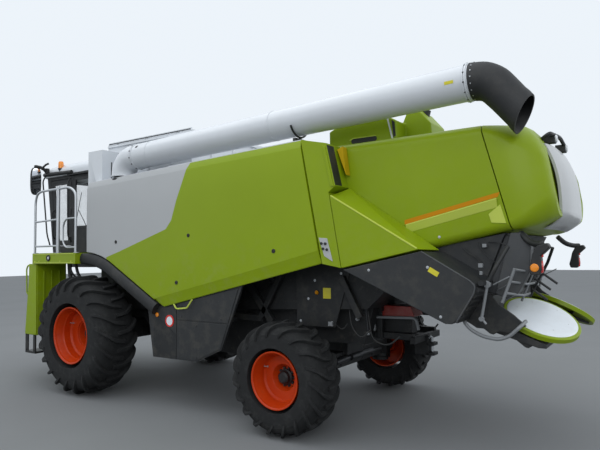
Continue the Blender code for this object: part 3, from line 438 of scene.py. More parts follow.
def tubePart(corners, radius, bend=0.06, sides=10, up=(0, 0.02, 1)):
    # a round bar through corners, bent smoothly at each; its ring turns with the path (parallel transport)
    path = bentPath(corners, bend) if len(corners) > 2 else np.array(corners, float)
    ahead = np.gradient(path, axis=0)
    ahead /= np.linalg.norm(ahead, axis=1)[:, None]
    normal = np.cross(ahead[0], np.array(up, float))
    if np.linalg.norm(normal) < 1e-3:
        normal = np.cross(ahead[0], np.array([1.0, 0.3, 0.0]))
    frames = []
    for direction in ahead:
        normal = normal - direction * normal.dot(direction)
        normal = normal / np.linalg.norm(normal)
        frames.append(normal)
    first = np.array(frames)
    second = np.cross(ahead, first)
    angles = np.linspace(0, 2 * np.pi, sides, endpoint=False)
    ring = np.cos(angles)[None, :, None] * first[:, None] + np.sin(angles)[None, :, None] * second[:, None]
    return gridPart(path[:, None] + ring * radius)


def boltParts(places, normal, radius=0.011, height=0.009):
    # hexagon heads with a washer, one at each place, standing along the normal
    normal = np.array(normal, float) / np.linalg.norm(normal)
    washer = [(0, -0.002), (radius * 1.5, -0.002), (radius * 1.5, 0.0025), (0, 0.0025)]
    head = [(0, 0.002), (radius, 0.002), (radius, height), (radius * 0.8, height * 1.15), (0, height * 1.15)]
    return [turnedPart(shape, place, normal, sides) for place in places for shape,
            sides in ((washer, 12), (head, 6))]


def ringPlaces(centre, normal, radius, count, start=0.0):
    # evenly spread points: centre + radius * (across * cos + up * sin)
    centre, normal = np.array(centre, float), np.array(normal, float)
    normal = normal / np.linalg.norm(normal)
    helper = np.array([0.0, 0.0, 1.0]) if abs(normal[2]) < 0.9 else np.array([1.0, 0.0, 0.0])
    across = np.cross(normal, helper)
    across /= np.linalg.norm(across)
    up = np.cross(normal, across)
    angles = start + np.arange(count) * 2 * np.pi / count
    return centre + radius * (np.cos(angles)[:, None] * across + np.sin(angles)[:, None] * up)


def piece(name, parts, material, body="chassis", bevel=0.0, smooth=38.0, stands=(), shift=True):
    # puts the parts into one mesh, welds and orients it, rounds its edges and hangs it on its body
    points, faces = joined(parts)
    if shift:
        points = points + np.array([axleX, 0.0, 0.0])
    mesh = bpy.data.meshes.new(name)
    mesh.from_pydata(points.tolist(), [], [face for block in faces for face in block.tolist()])
    work = bmesh.new()
    work.from_mesh(mesh)
    bmesh.ops.remove_doubles(work, verts=work.verts, dist=2e-5)
    bmesh.ops.recalc_face_normals(work, faces=work.faces)
    work.to_mesh(mesh)
    work.free()
    made = bpy.data.objects.new(name, mesh)
    bpy.context.scene.collection.objects.link(made)
    return dressed(made, material, body, bevel, smooth, stands)


def dressed(made, material, body, bevel=0.0, smooth=38.0, stands=()):
    # one finish, smooth shading up to an angle, an optional edge rounding, then its body
    made.data.materials.clear()
    made.data.materials.append(material)
    made.data.shade_smooth()
    made.data.set_sharp_from_angle(angle=math.radians(smooth))
    if bevel > 0:
        rounding = made.modifiers.new("rounding", "BEVEL")
        rounding.width = bevel
        rounding.segments = 2
        rounding.limit_method = "ANGLE"
        rounding.angle_limit = math.radians(32)
        rounding.harden_normals = True
    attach(made, body)
    if stands:
        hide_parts(*stands)
    return made


def rounded(node, name, material, bevel):
    # a copy of a CAD node with its triangles welded into flat faces and its edges rounded
    source = nodes[node]
    mesh = source.data.copy()
    work = bmesh.new()
    work.from_mesh(mesh)
    bmesh.ops.remove_doubles(work, verts=work.verts, dist=2e-5)
    bmesh.ops.dissolve_limit(work, angle_limit=math.radians(1.0), verts=work.verts, edges=work.edges)
    work.to_mesh(mesh)
    work.free()
    for layer in list(mesh.uv_layers):
        mesh.uv_layers.remove(layer)
    mesh.name = name
    made = bpy.data.objects.new(name, mesh)
    bpy.context.scene.collection.objects.link(made)
    return dressed(made, material, source["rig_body"], bevel, stands=(node,))


def kept(node, material):
    # a CAD node that keeps its shape and gets a better finish
    nodes[node].data.materials.clear()
    nodes[node].data.materials.append(material)


# Wheels
tyreShape = {
    "front": {"z": frontZ, "width": 0.65, "seat": 0.417, "lugs": 21, "lugHeight": 0.052, "lugWidth": 0.058,
              "sweep": 0.36, "rounds": 112},
    "rear": {"z": rearZ, "width": 0.5, "seat": 0.316, "lugs": 19, "lugHeight": 0.04, "lugWidth": 0.046,
             "sweep": 0.4, "rounds": 96},
}


def casing(shape, turn):
    # superellipse section: across = half width * cos^0.5, radius = seat + (crown - seat) * sin^0.4
    crown = shape["z"] - shape["lugHeight"] * 0.92
    cosine, sine = np.cos(turn), np.sin(turn)
    across = shape["width"] / 2 * np.sign(cosine) * np.abs(cosine) ** 0.5
    radius = shape["seat"] + (crown - shape["seat"]) * np.abs(sine) ** 0.4
    return across, radius


def tyre(name, place, shape):
    # the casing turned round its axle, with two rows of lugs standing out along its surface
    turn = np.linspace(0.012, np.pi - 0.012, 41)
    across, radius = casing(shape, turn)
    ribs = 0.0035 * (np.cos((radius - shape["seat"]) * 150) > 0.55) * (radius < shape["z"] * 0.8)
    across = across + np.sign(across) * ribs
    parts = [turnedPart(list(zip(radius, across)), place, sides=shape["rounds"])]
    # each lug follows the casing from just past the crown down over one shoulder, swept back as it goes out
    stations = np.linspace(0, 1, 12)
    for flank in (1, -1):
        lean = np.pi / 2 + 0.04 - stations * 1.34
        a, r = casing(shape, lean)
        aNext, rNext = casing(shape, lean - 0.01)
        along = np.stack([aNext - a, rNext - r], -1)
        along /= np.linalg.norm(along, axis=1)[:, None]
        out = np.stack([-along[:, 1], along[:, 0]], -1) * np.where(along[:, 0] > 0, 1, -1)[:, None]
        height = shape["lugHeight"] * (1 - 0.72 * np.clip((stations - 0.7) / 0.3, 0, 1) ** 1.5)
        height = np.where(stations < 0.04, height * 0.75, height)
        back = shape["sweep"] * stations ** 1.12 * (1 - 0.18 * stations)
        count = shape["lugs"]
        starts = (np.arange(count) + (0.5 if flank > 0 else 0.0)) * 2 * np.pi / count
        halves = np.array([[-0.62, -0.2], [-0.4, 1.0], [0.34, 1.0], [0.66, -0.2]])
        spread = shape["lugWidth"] * (1 - 0.22 * stations)
        rise = height[:, None] * halves[None, :, 1]
        ringA = a[:, None] + out[:, 0][:, None] * rise
        ringR = r[:, None] + out[:, 1][:, None] * rise
        angle = back[:, None] + spread[:, None] * halves[None, :, 0] / ringR
        for start in starts:
            turned = start + angle
            points = np.stack([ringR * np.sin(turned), flank * ringA, ringR * np.cos(turned)], -1)
            parts.append(gridPart(points + np.array(place)))
    body = name.replace("_tyre", "_wheel")
    piece(name + "_treaded", parts, rubber, body, smooth=28.0, stands=(name,))


def rim(name, place, shape, side, depth, hub):
    # stepped dish: lip, bead seat and two steps down to the disc, then a cone in to the hub recess
    edge = 0.44 * shape["width"]
    seat = shape["seat"] - 0.001
    face = [(seat + 0.012, edge + 0.006), (seat + 0.016, edge - 0.004), (seat, edge - 0.02),
            (seat, -edge + 0.02),
            (seat + 0.016, -edge + 0.004), (seat + 0.012, -edge - 0.006), (seat - 0.004, -edge - 0.004),
            (seat - 0.014, -edge + 0.02), (seat - 0.016, depth - 0.03), (seat * 0.46, depth - 0.02),
            (seat * 0.37, hub + 0.02), (seat * 0.36, hub), (0, hub), (0, hub + 0.025),
            (seat * 0.36, hub + 0.028),
            (seat * 0.4, hub + 0.05), (seat * 0.5, depth + 0.002), (seat * 0.8, depth + 0.006),
            (seat * 0.86, depth + 0.03), (seat * 0.875, edge * 0.52), (seat * 0.915, edge * 0.6),
            (seat * 0.925, edge * 0.8), (seat * 0.955, edge * 0.86), (seat * 0.965, edge * 0.97),
            (seat - 0.002, edge + 0.004)]
    profile = [(r, side * a) for r, a in face]
    body = name.replace("_rim", "_wheel")
    piece(name + "_dish", [turnedPart(profile, place, sides=72)], rimColour, body, bevel=0.003,
          stands=(name,))
    axis = np.array([0, side, 0])
    cap = np.array(place) + axis * (hub + 0.026)
    hubProfile = [(0, 0), (seat * 0.3, 0), (seat * 0.3, 0.035), (seat * 0.24, 0.05), (seat * 0.22, 0.085),
                  (seat * 0.16, 0.1), (0, 0.102)]
    parts = [turnedPart(hubProfile, cap, axis, 32)]
    parts += boltParts(ringPlaces(cap, axis, seat * 0.335, 10), axis, 0.015, 0.022)
    piece(name.replace("_rim", "_hub_cap"), parts, blackPart, body, bevel=0.002)
    valve = np.array(place) + np.array([seat * 0.7, side * (depth + 0.006), seat * 0.35])
    stem = tubePart([valve, valve + axis * 0.03, valve + axis * 0.055 + np.array([0.02, 0, 0.01])], 0.006,
                    0.01, 8)
    parts = [stem, turnedPart([(0, 0), (0.012, 0), (0.012, 0.01), (0, 0.01)], valve, axis, 10)]
    piece(name.replace("_rim", "_valve"), parts, zinc, body)


for word, side in bothSides:
    frontPlace = (0, side * trackHalf, frontZ)
    rearPlace = (rearX, side * trackHalf, rearZ)
    tyre("front_" + word + "_tyre", frontPlace, tyreShape["front"])
    tyre("rear_" + word + "_tyre", rearPlace, tyreShape["rear"])
    rim("front_" + word + "_rim", frontPlace, tyreShape["front"], side, 0.02, -0.14)
    rim("rear_" + word + "_rim", rearPlace, tyreShape["rear"], side, 0.03, -0.07)
print("wheels made")


# Side panels: an upright section carried along the machine, its foot following arch and lower edge
panel = {"front": -0.04, "rearTop": -4.09, "rearLean": 0.26, "topFront": 3.25, "topRear": 3.4, "face": 1.456,
         "inner": 1.406, "flange": 0.085, "archX": 0.05, "archZ": 0.65, "archRadius": 1.5, "lowX": -1.76,
         "lowZ": 1.38, "endX": -4.35, "endZ": 1.97, "crease": (-1.6, 1.48, -4.35, 2.11)}
archTurn = math.radians(28.3)


def archHeight(x, radius):
    # circle over the front wheel, then its straight tangent
    touchX = panel["archX"] - radius * sin(archTurn)
    touchZ = panel["archZ"] + radius * cos(archTurn)
    archLine = panel["archZ"] + np.sqrt(np.maximum(radius ** 2 - (x - panel["archX"]) ** 2, 0))
    return np.where(x > touchX, archLine, touchZ + (x - touchX) * math.tan(archTurn))


def panelFoot(x):
    # lower edge: the arch ahead of the lowest point, and a straight rising line behind it
    slope = (panel["endZ"] - panel["lowZ"]) / (panel["lowX"] - panel["endX"])
    low = panel["lowZ"] + (panel["lowX"] - x) * slope
    ahead = x > panel["lowX"]
    return np.maximum(np.where(ahead, 0, low), archHeight(x, panel["archRadius"]) * ahead)


def sidePanel(word, side):
    # rows of (x, y) stations from the foot to the shoulder, carried along the machine
    x = np.linspace(panel["front"], panel["rearTop"], 90)
    top = panel["topFront"] + (panel["topRear"] - panel["topFront"]) * (x - panel["front"]) / (
        panel["rearTop"] - panel["front"])
    lean = panel["rearLean"] * np.clip((-2.0 - x) / 2.09, 0, 1)
    foot = panelFoot(x)
    for _ in range(3):
        foot = panelFoot(x - lean * (top - foot) / 1.43)
    cx, cz, ex, ez = panel["crease"]
    crease = np.maximum(cz + (x - lean * 0.95 - cx) * (ez - cz) / (ex - cx), foot + 0.012)
    face, inner = panel["face"], panel["inner"]
    bulge = 0.004
    rows = [(top, inner), (top, inner + 0.012), (top - panel["flange"], face - 0.002),
            (top - panel["flange"] - 0.012, face)]
    for share in (0.25, 0.5, 0.75):
        rows.append((top - panel["flange"] + (crease - top + panel["flange"]) * share,
                     face + bulge * sin(math.pi * share)))
    rows += [(crease + 0.01, face), (crease, face - 0.003), (foot + 0.008, face - 0.03), (foot, face - 0.036),
             (foot, inner)]
    section = []
    for z, y in rows:
        height = z if isinstance(z, np.ndarray) else np.full_like(x, z)
        section.append(np.stack([x - lean * (top - height) / 1.43, np.full_like(x, side * y), height], -1))
    body = word + "_side_panel"
    piece(word + "_side_shell", [gridPart(np.stack(section, 1))], panelPaint, body, smooth=14.0,
          stands=(word + "_side_panel",))
    # pressed button locks and the hinge straps behind the top edge
    locks = []
    for lockX, lockZ in ((-0.76, 2.3), (-2.28, 2.35), (-2.05, 1.72), (-3.7, 2.12)):
        place = (lockX, side * (face + 0.002), lockZ)
        locks.append(turnedPart([(0, -0.004), (0.026, -0.004), (0.026, 0.005), (0.016, 0.009),
                (0.014, 0.004), (0, 0.004)],
                                place, (0, side, 0), 20))
    # pressed button locks
    piece(word + "_panel_locks", locks, blackPart, body)
    # the grip takes the paler green: painted highlight
    handle = tubePart([(-1.98, side * 1.44, 1.425), (-2.04, side * 1.45, 1.365), (-2.24, side * 1.45, 1.385),
                       (-2.33, side * 1.44, 1.5)], 0.011, 0.03, 8)
    piece(word + "_panel_grip", [handle], highlightGreen, body)


for word, side in bothSides:
    sidePanel(word, side)


# Dark flare over each front wheel, and the skirt behind it
def flare(word, side):
    # the arch curve, straightened into its tangent at the rear, carries a bulging section
    outer = panel["archRadius"] - 0.008
    turns = np.linspace(-0.02, archTurn, 26)
    x = panel["archX"] - outer * np.sin(turns)
    z = panel["archZ"] + outer * np.cos(turns)
    tailX = np.linspace(x[-1], -1.66, 14)[1:]
    tailZ = z[-1] + (tailX - x[-1]) * math.tan(archTurn)
    x, z = np.concatenate([x, tailX]), np.concatenate([z, tailZ])
    dx, dz = np.gradient(x), np.gradient(z)
    size = np.hypot(dx, dz)
    inX, inZ = -dz / size, dx / size
    inX, inZ = np.where(inZ > 0, -inX, inX), np.where(inZ > 0, -inZ, inZ)
    section = [(0.0, 1.392), (0.0, 1.456), (0.012, 1.47), (0.05, 1.492), (0.1, 1.497), (0.145, 1.486),
               (0.172, 1.458),
               (0.178, 1.43), (0.17, 1.392)]
    rings = [np.stack([x + inX * drop, np.full_like(x, side * y), z + inZ * drop], -1) for drop, y in section]
    piece(word + "_arch_flare", [gridPart(np.stack(rings, 1))], dark, smooth=30.0,
          stands=(word + "_fender",))


skirt = {"outline": [(-1.4, 1.34), (-1.51, 0.67), (-2.36, 0.68), (-2.8, 0.87), (-3.16, 1.7), (-1.8, 1.42),
        (-1.56, 1.36)],
         "face": 1.395}


def lowerSkirt(word, side):
    # a flat sheet with three raised plates, stays, screws and the round blank plate
    face = skirt["face"]
    ys = sideSpan(side, face - 0.035, face)
    sheet = prismPart(skirt["outline"], *ys)
    plateYs = sideSpan(side, face, face + 0.008)
    upper = prismPart([(-2.0, 1.215), (-2.0, 1.43), (-3.1, 1.665), (-2.965, 1.325), (-2.92, 1.215)], *plateYs)
    lower = prismPart([(-2.0, 0.7), (-2.0, 1.2), (-2.915, 1.2), (-2.79, 0.885), (-2.36, 0.7)], *plateYs)
    corner = prismPart([(-1.52, 1.31), (-1.96, 1.03), (-1.985, 1.03), (-1.985, 1.42)], *plateYs)
    stayYs = sideSpan(side, 0.62, face - 0.02)
    stays = [boxPart((x, stayYs[0], 1.18), (x + 0.06, stayYs[1], 1.24)) for x in (-1.7, -2.65)]
    # a thin black sheet below the corner's slanting edge: painted shade, standing in for the shadow there
    skirtShadeSheet = prismPart([(-1.53, 1.275), (-1.952, 1.02), (-1.985, 1.015), (-1.985, 0.685), (-1.53, 0.685)],
                     *sideSpan(side, face, face + 0.003))
    piece(word + "_skirt_front_plate", [skirtShadeSheet], blackPart)
    piece(word + "_lower_skirt", [sheet, upper, lower, corner] + stays, darkSheet,
          bevel=0.004)
    screws = boltParts([(x, side * (face + 0.008), z) for x, z in
                        ((-2.08, 1.26), (-2.08, 1.4), (-2.8, 1.26), (-2.36, 1.15), (-2.36, 0.73),
            (-1.96, 1.36), (-1.6, 1.31))], (0, side, 0), 0.009, 0.006)
    piece(word + "_skirt_screws", screws, steel)
    # round limit plate, left blank: white face, red ring; and a reflector
    centre = np.array([-1.86, side * (face + 0.01), 1.19])
    axis = (0, side, 0)
    piece(word + "_limit_plate", [turnedPart([(0, -0.002), (0.066, -0.002), (0.066, 0.004), (0, 0.004)],
            centre, axis, 40)],
          white)
    # the red ring takes the red lamp lens, which glows faintly: painted light on a ring that is no lamp
    piece(word + "_limit_ring", [turnedPart([(0.06, -0.002), (0.082, -0.002), (0.082, 0.006), (0.06, 0.006)],
            centre, axis, 40)],
          redLens)
    dot = (-1.605, side * (face + 0.008), 1.262)
    # the reflector takes the amber lamp lens, which glows faintly: painted light on a reflector that is no
    # lamp
    piece(word + "_side_reflector", [turnedPart([(0, -0.003), (0.03, -0.003), (0.03, 0.006), (0.022, 0.012),
            (0, 0.013)],
                                                dot, axis, 28)], amberLens)


for word, side in bothSides:
    flare(word, side)
    lowerSkirt(word, side)
print("side panels made")


# Straw hood: a closed section with rounded shoulders, carried from the post to the slanting seam
hood = {"half": 1.15, "top": 3.36, "corner": 0.13, "low": 2.118, "frontX": -4.13, "seamTop": -6.055,
        "seamLow": -6.33,
        "seamZ": 2.285, "coverLow": 2.42, "coverBack": -6.71, "stripe": (-5.24, 2.38, -6.24, 2.61)}


def hoodFoot(x):
    # lower edge of the hood, straight between its set points
    return np.interp(-x, [4.38, 5.45, 6.335], [hood["low"], hood["low"], hood["seamZ"]])


def hoodSeam(z):
    # the seam leans back in a straight line from its top to its foot
    share = (hood["top"] - z) / (hood["top"] - hood["seamZ"])
    return hood["seamTop"] + (hood["seamLow"] - hood["seamTop"]) * share


def shoulderRing(half, top, low, corner, foot=0.09):
    # half a section from its foot up the side and round the shoulder, then mirrored over the middle
    turn = np.linspace(0, np.pi / 2, 9)
    under = np.linspace(-np.pi / 2, -0.06, 7)
    y = np.concatenate([half - foot + foot * np.cos(under), half - corner + corner * np.cos(turn)])
    z = np.concatenate([low + foot + foot * np.sin(under), top - corner + corner * np.sin(turn)])
    return np.concatenate([y, -y[::-1]]), np.concatenate([z, z[::-1]])


def strawHood():
    # shoulder rings that slide from the post to the seam
    rings = []
    for share in np.linspace(0, 1, 26):
        atX = hood["frontX"] + (hoodSeam(2.6) - hood["frontX"]) * share
        y, z = shoulderRing(hood["half"], hood["top"], float(hoodFoot(np.array(atX - 0.1))), hood["corner"])
        front = hood["frontX"] - 0.25 * (3.34 - z) / 1.22
        x = front + (hoodSeam(z) - front) * share
        rings.append(np.stack([x, y, z], -1))
    piece("straw_hood_shell", [gridPart(np.stack(rings))], green, bevel=0.004, smooth=30.0,
          stands=("straw_hood",))


def coverBack(z):
    # the back leans in with the cube of the height above the cover's foot
    height = (z - hood["coverLow"]) / (hood["top"] - hood["coverLow"])
    return hood["coverBack"] + 0.27 * np.clip(height, 0, 1) ** 3


def rearCover():
    # shoulder rings that shrink and drop from the seam to the back
    rings = []
    for share in np.concatenate([np.linspace(0, 0.85, 12), [0.92, 0.97, 1.0]]):
        half = hood["half"] - 0.15 * share ** 3 - 0.04 * max(0.0, share - 0.92) / 0.08
        low = hood["seamZ"] + (hood["coverLow"] - hood["seamZ"]) * share ** 2
        y, z = shoulderRing(half, hood["top"] - 0.03 * max(0.0, share - 0.92) / 0.08, low,
                            hood["corner"] + 0.27 * share, 0.09 + 0.16 * share)
        x = hoodSeam(z) - 0.01 + (coverBack(z) - hoodSeam(z) + 0.01) * share
        rings.append(np.stack([x, y, z], -1))
    piece("rear_cover_shell", [gridPart(np.stack(rings))], green, bevel=0.004, smooth=30.0,
          stands=("rear_cover",))


def slopeBand(low, high, y, out, x0, x1, side):
    # a strip on the hood's side that keeps the stripe's slope, from low to high above the stripe's foot line
    sx, sz, ex, ez = hood["stripe"]
    rise = (ez - sz) / (ex - sx)
    foot = [(x, sz + (x - sx) * rise) for x in (x0, x1)]
    outline = [(foot[0][0], foot[0][1] + low), (foot[1][0] + 0.02, foot[1][1] + low),
               (foot[1][0], foot[1][1] + high), (foot[0][0], foot[0][1] + high)]
    ys = sideSpan(side, y, y + out)
    return prismPart(outline, *ys)


strawHood()
rearCover()
for word, side in bothSides:
    sx, sz, ex, ez = hood["stripe"]
    piece(word + "_hood_stripe", [slopeBand(0.0, 0.048, hood["half"] - 0.004, 0.0065, sx, ex, side)], orange)
    # pressed ledge under the stripe: it stands out most along its upper edge, and its paler green is painted
    # highlight
    rise = (ez - sz) / (ex - sx)
    xs = np.linspace(sx - 0.02, ex + 0.03, 12)
    foot = sz + (xs - sx) * rise
    rows = [(foot - 0.1, hood["half"] - 0.004), (foot - 0.095, hood["half"] + 0.003),
            (foot - 0.012, hood["half"] + 0.026),
            (foot - 0.004, hood["half"] + 0.022), (foot - 0.002, hood["half"] - 0.004)]
    grid = np.stack([np.stack([xs, np.full_like(xs, side * y), z], -1) for z, y in rows], 1)
    ys = sideSpan(side, hood["half"] - 0.004, hood["half"] + 0.006)
    facet = prismPart([(ex + 0.113, ez - 0.165), (ex - 0.001, ez - 0.074), (ex - 0.052, ez - 0.262),
            (ex + 0.088, ez - 0.25)], *ys)
    piece(word + "_hood_ledge", [gridPart(grid), facet], highlightGreen, bevel=0.002, smooth=20.0)
    studs = boltParts([(x, side * hood["half"], z) for x, z in ((-5.3, 2.3), (-5.62, 2.235), (-4.95, 2.2))],
            (0, side, 0), 0.01, 0.006)
    piece(word + "_hood_studs", studs, zinc)
    # the post between side panel and hood, and its plate with four knobs
    post = [(-4.105, 3.4), (-4.45, 3.32), (-4.56, 2.83), (-4.47, 2.76), (-4.61, 1.92), (-4.372, 1.965)]
    ys = sideSpan(side, hood["half"] - 0.05, 1.453)
    strip = [(-4.4, 3.3), (-4.44, 3.28), (-4.545, 2.82), (-4.5, 2.83)]
    stripYs = sideSpan(side, 1.45, 1.466)
    piece(word + "_corner_post", [prismPart(post, *ys), prismPart(strip, *stripYs)], green,
          bevel=0.006)
    # dark slot behind the post with its row of clips, over an orange strip
    ys = sideSpan(side, 1.3, 1.449)
    piece(word + "_post_slot", [prismPart([(-4.448, 3.3), (-4.457, 3.3), (-4.56, 2.84), (-4.551, 2.835)],
            *ys)], blackPart)
    ys = sideSpan(side, 1.155, 1.25)
    piece(word + "_slot_strip", [prismPart([(-4.475, 3.27), (-4.545, 3.3), (-4.585, 2.97)], *ys)], amberStrip)
    plate = [(-4.335, 2.26), (-4.445, 2.25), (-4.515, 1.99), (-4.405, 2.055)]
    ys = sideSpan(side, 1.45, 1.459)
    piece(word + "_knob_plate", [prismPart(plate, *ys)], silver, bevel=0.002)
    knobs = []
    for knobX, knobZ in ((-4.375, 2.195), (-4.425, 2.19), (-4.395, 2.135), (-4.445, 2.125)):
        knobs.append(turnedPart([(0, 0), (0.013, 0), (0.016, 0.008), (0.014, 0.016), (0, 0.018)],
                                (knobX, side * 1.458, knobZ), (0, side, 0), 16))
    piece(word + "_plate_knobs", knobs, blackPart)
    rounded(word + "_wedge_panel", word + "_wedge_shell", green, 0.01)
    # the wedge's edge line in the paler green: painted highlight
    edge = tubePart([(-4.495, side * 1.445, 2.722), (-5.49, side * 1.445, 2.118)], 0.01, sides=8)
    piece(word + "_wedge_edge", [edge], highlightGreen)

# silver cover over the back, curved as the hood's own back is, with a lamp under a dark bow
z = np.linspace(2.3, 3.18, 24)
y = np.linspace(-0.63, 0.63, 25)
zz, yy = np.meshgrid(z, y, indexing="ij")
curl = 0.05 * (np.abs(yy) / 0.63) ** 4 + 0.16 * np.clip((2.46 - zz) / 0.16, 0, 1) ** 2
outer = np.stack([coverBack(np.maximum(zz, 2.42)) - 0.055 + curl, yy, zz], -1)
inner = outer + np.array([0.03, 0, 0.0])
rings = np.concatenate([outer, inner[:, ::-1]], 1)
piece("rear_silver_shell", [gridPart(rings)], silver, bevel=0.003, smooth=30.0,
      stands=("rear_silver_panel",))
bow = [tubePart([(-6.5, -0.48, 3.24), (-6.6, -0.52, 3.3), (-6.62, 0, 3.34), (-6.6, 0.52, 3.3),
        (-6.5, 0.48, 3.24)],
                0.022, 0.14, 10)]
bow += [boxPart((-6.63, y - 0.05, 3.22), (-6.52, y + 0.05, 3.31)) for y in (-0.34, 0.34)]
piece("rear_lamp_bow", bow, blackPart, bevel=0.006)
piece("rear_work_lamps", [turnedPart([(0, 0), (0.042, 0), (0.042, 0.012), (0.03, 0.018), (0, 0.02)],
        (-6.63, y, 3.265), (-1, 0, 0), 24)
                          for y in (-0.34, 0.34)], clearLens)
print("hood made")

# Unloading tube: riser, quarter bend and long pipe in one skin, with its flanges
auger = {"x": -0.68, "y": 1.25, "foot": 3.302, "radius": 0.185, "bend": 0.25, "height": 3.568, "rise": 0.0358,
         "end": -6.035}


def augerPoint(x):
    # the pipe's middle line at x
    return np.array([x, auger["y"], auger["height"] + auger["rise"] * (auger["x"] - x)])


def augerTube():
    # a circle carried up the riser, round the quarter bend and along the pipe
    turn = np.linspace(0, np.pi / 2, 14)
    top = augerPoint(auger["x"] - auger["bend"])[2]
    bendX = auger["x"] - auger["bend"] + auger["bend"] * np.cos(turn)
    bendZ = top - auger["bend"] + auger["bend"] * np.sin(turn)
    path = [(auger["x"], auger["y"], auger["foot"])]
    path += [(x, auger["y"], z) for x, z in zip(bendX, bendZ)]
    straight = np.linspace(auger["x"] - auger["bend"] - 0.15, auger["end"], 12)
    path += [tuple(augerPoint(x)) for x in straight]
    skin = tubePart(path, auger["radius"], 0.02, 44)
    along = augerPoint(-2) - augerPoint(-1)
    radius = auger["radius"]
    parts = [skin]
    for x, half, proud in ((-1.02, 0.01, 0.009), (-1.045, 0.008, 0.009), (-1.36, 0.004, 0.004),
            (-3.6, 0.005, 0.004),
                           (-5.99, 0.01, 0.009), (-6.015, 0.008, 0.009)):
        band = [(radius - 0.004, -half), (radius + proud, -half), (radius + proud, half),
                (radius - 0.004, half)]
        parts.append(turnedPart(band, augerPoint(x), along, 56))
    base = [(radius - 0.004, -0.002), (radius + 0.008, -0.002), (radius + 0.008, 0.014),
            (radius - 0.004, 0.014)]
    parts.append(turnedPart(base, (auger["x"], auger["y"], auger["foot"]), (0, 0, 1), 48))
    piece("auger_pipe", parts, pale, "unloading_auger", smooth=40.0, stands=("auger_tube",))
    bolts = []
    for turn in np.linspace(0.3, 2 * np.pi + 0.3, 12, endpoint=False):
        out = np.array([0, cos(turn), sin(turn)])
        place = augerPoint(-1.032) + out * (radius + 0.004)
        bolts.append(boxPart(place - 0.01, place + 0.01))
        place = augerPoint(-6.003) + out * (radius + 0.003)
        bolts.append(boxPart(place - 0.008, place + 0.008))
    piece("auger_clamps", bolts, steel, "unloading_auger", bevel=0.002)
    # small notice on the elbow and a blank label by the spout, both lying on the curve
    for name, centre, width, low, high, material in (
            ("auger_label", -5.86, 0.045, -9.0, 1.0, yellow),
            ("auger_notice", -1.15, 0.022, 30.0, 42.0, blackPart)):
        turns = np.radians(np.linspace(low, high, 6))
        rings = []
        for x in (centre - width, centre + width):
            middle = augerPoint(x)
            rings.append([middle + np.array([0, cos(t), sin(t)]) * (radius + r)
                          for r, order in ((0.0025, turns), (-0.003, turns[::-1])) for t in order])
        piece(name, [gridPart(np.array(rings))], material, "unloading_auger")


def spout():
    # a thin dark shell: its rings turn from the pipe's line down to the mouth
    root = augerPoint(-6.04)
    knots = [0.0, 0.28, 0.55, 1.0]
    share = np.linspace(0, 1, 16)
    ahead = np.interp(share, knots, [0.0, 0.13, 0.24, 0.475])
    drop = np.interp(share, knots, [0.0, -0.017, -0.098, -0.4])
    slope = np.interp(share, knots, [-0.036, 0.25, 0.62, 0.5])
    for _ in range(2):
        ahead[1:-1] = (ahead[:-2] + 2 * ahead[1:-1] + ahead[2:]) / 4
        drop[1:-1] = (drop[:-2] + 2 * drop[1:-1] + drop[2:]) / 4
    rings = []
    turn = np.linspace(0, 2 * np.pi, 40, endpoint=False)
    for radius, order in ((0.1885, range(16)), (0.178, range(15, -1, -1))):
        for i in order:
            middle = root + np.array([-ahead[i], 0, drop[i]])
            normal = np.array([-1, 0, -slope[i]]) / math.hypot(1, slope[i])
            side, up = np.array([0, 1, 0]), np.array([-normal[2], 0, normal[0]])
            lip = 0.006 if i > 13 and radius > 0.18 else 0.0
            rings.append([middle + (side * cos(t) + up * sin(t)) * (radius + lip) for t in turn])
    piece("spout_shell", [gridPart(np.array(rings), wrapRows=True)], dark, "unloading_auger",
          smooth=30.0, stands=("auger_spout",))
    # a ring of rivets holds the rubber spout on the pipe's flange
    rivets = []
    for t in np.linspace(0, 2 * np.pi, 18, endpoint=False):
        out = np.array([0, cos(t), sin(t)])
        rivets.append(turnedPart([(0, -0.002), (0.008, -0.002), (0.006, 0.004), (0, 0.005)],
                root + (-0.03, 0, 0) + out * 0.189, out, 10))
    piece("spout_rivets", rivets, zinc, "unloading_auger")


augerTube()
spout()
print("auger made")

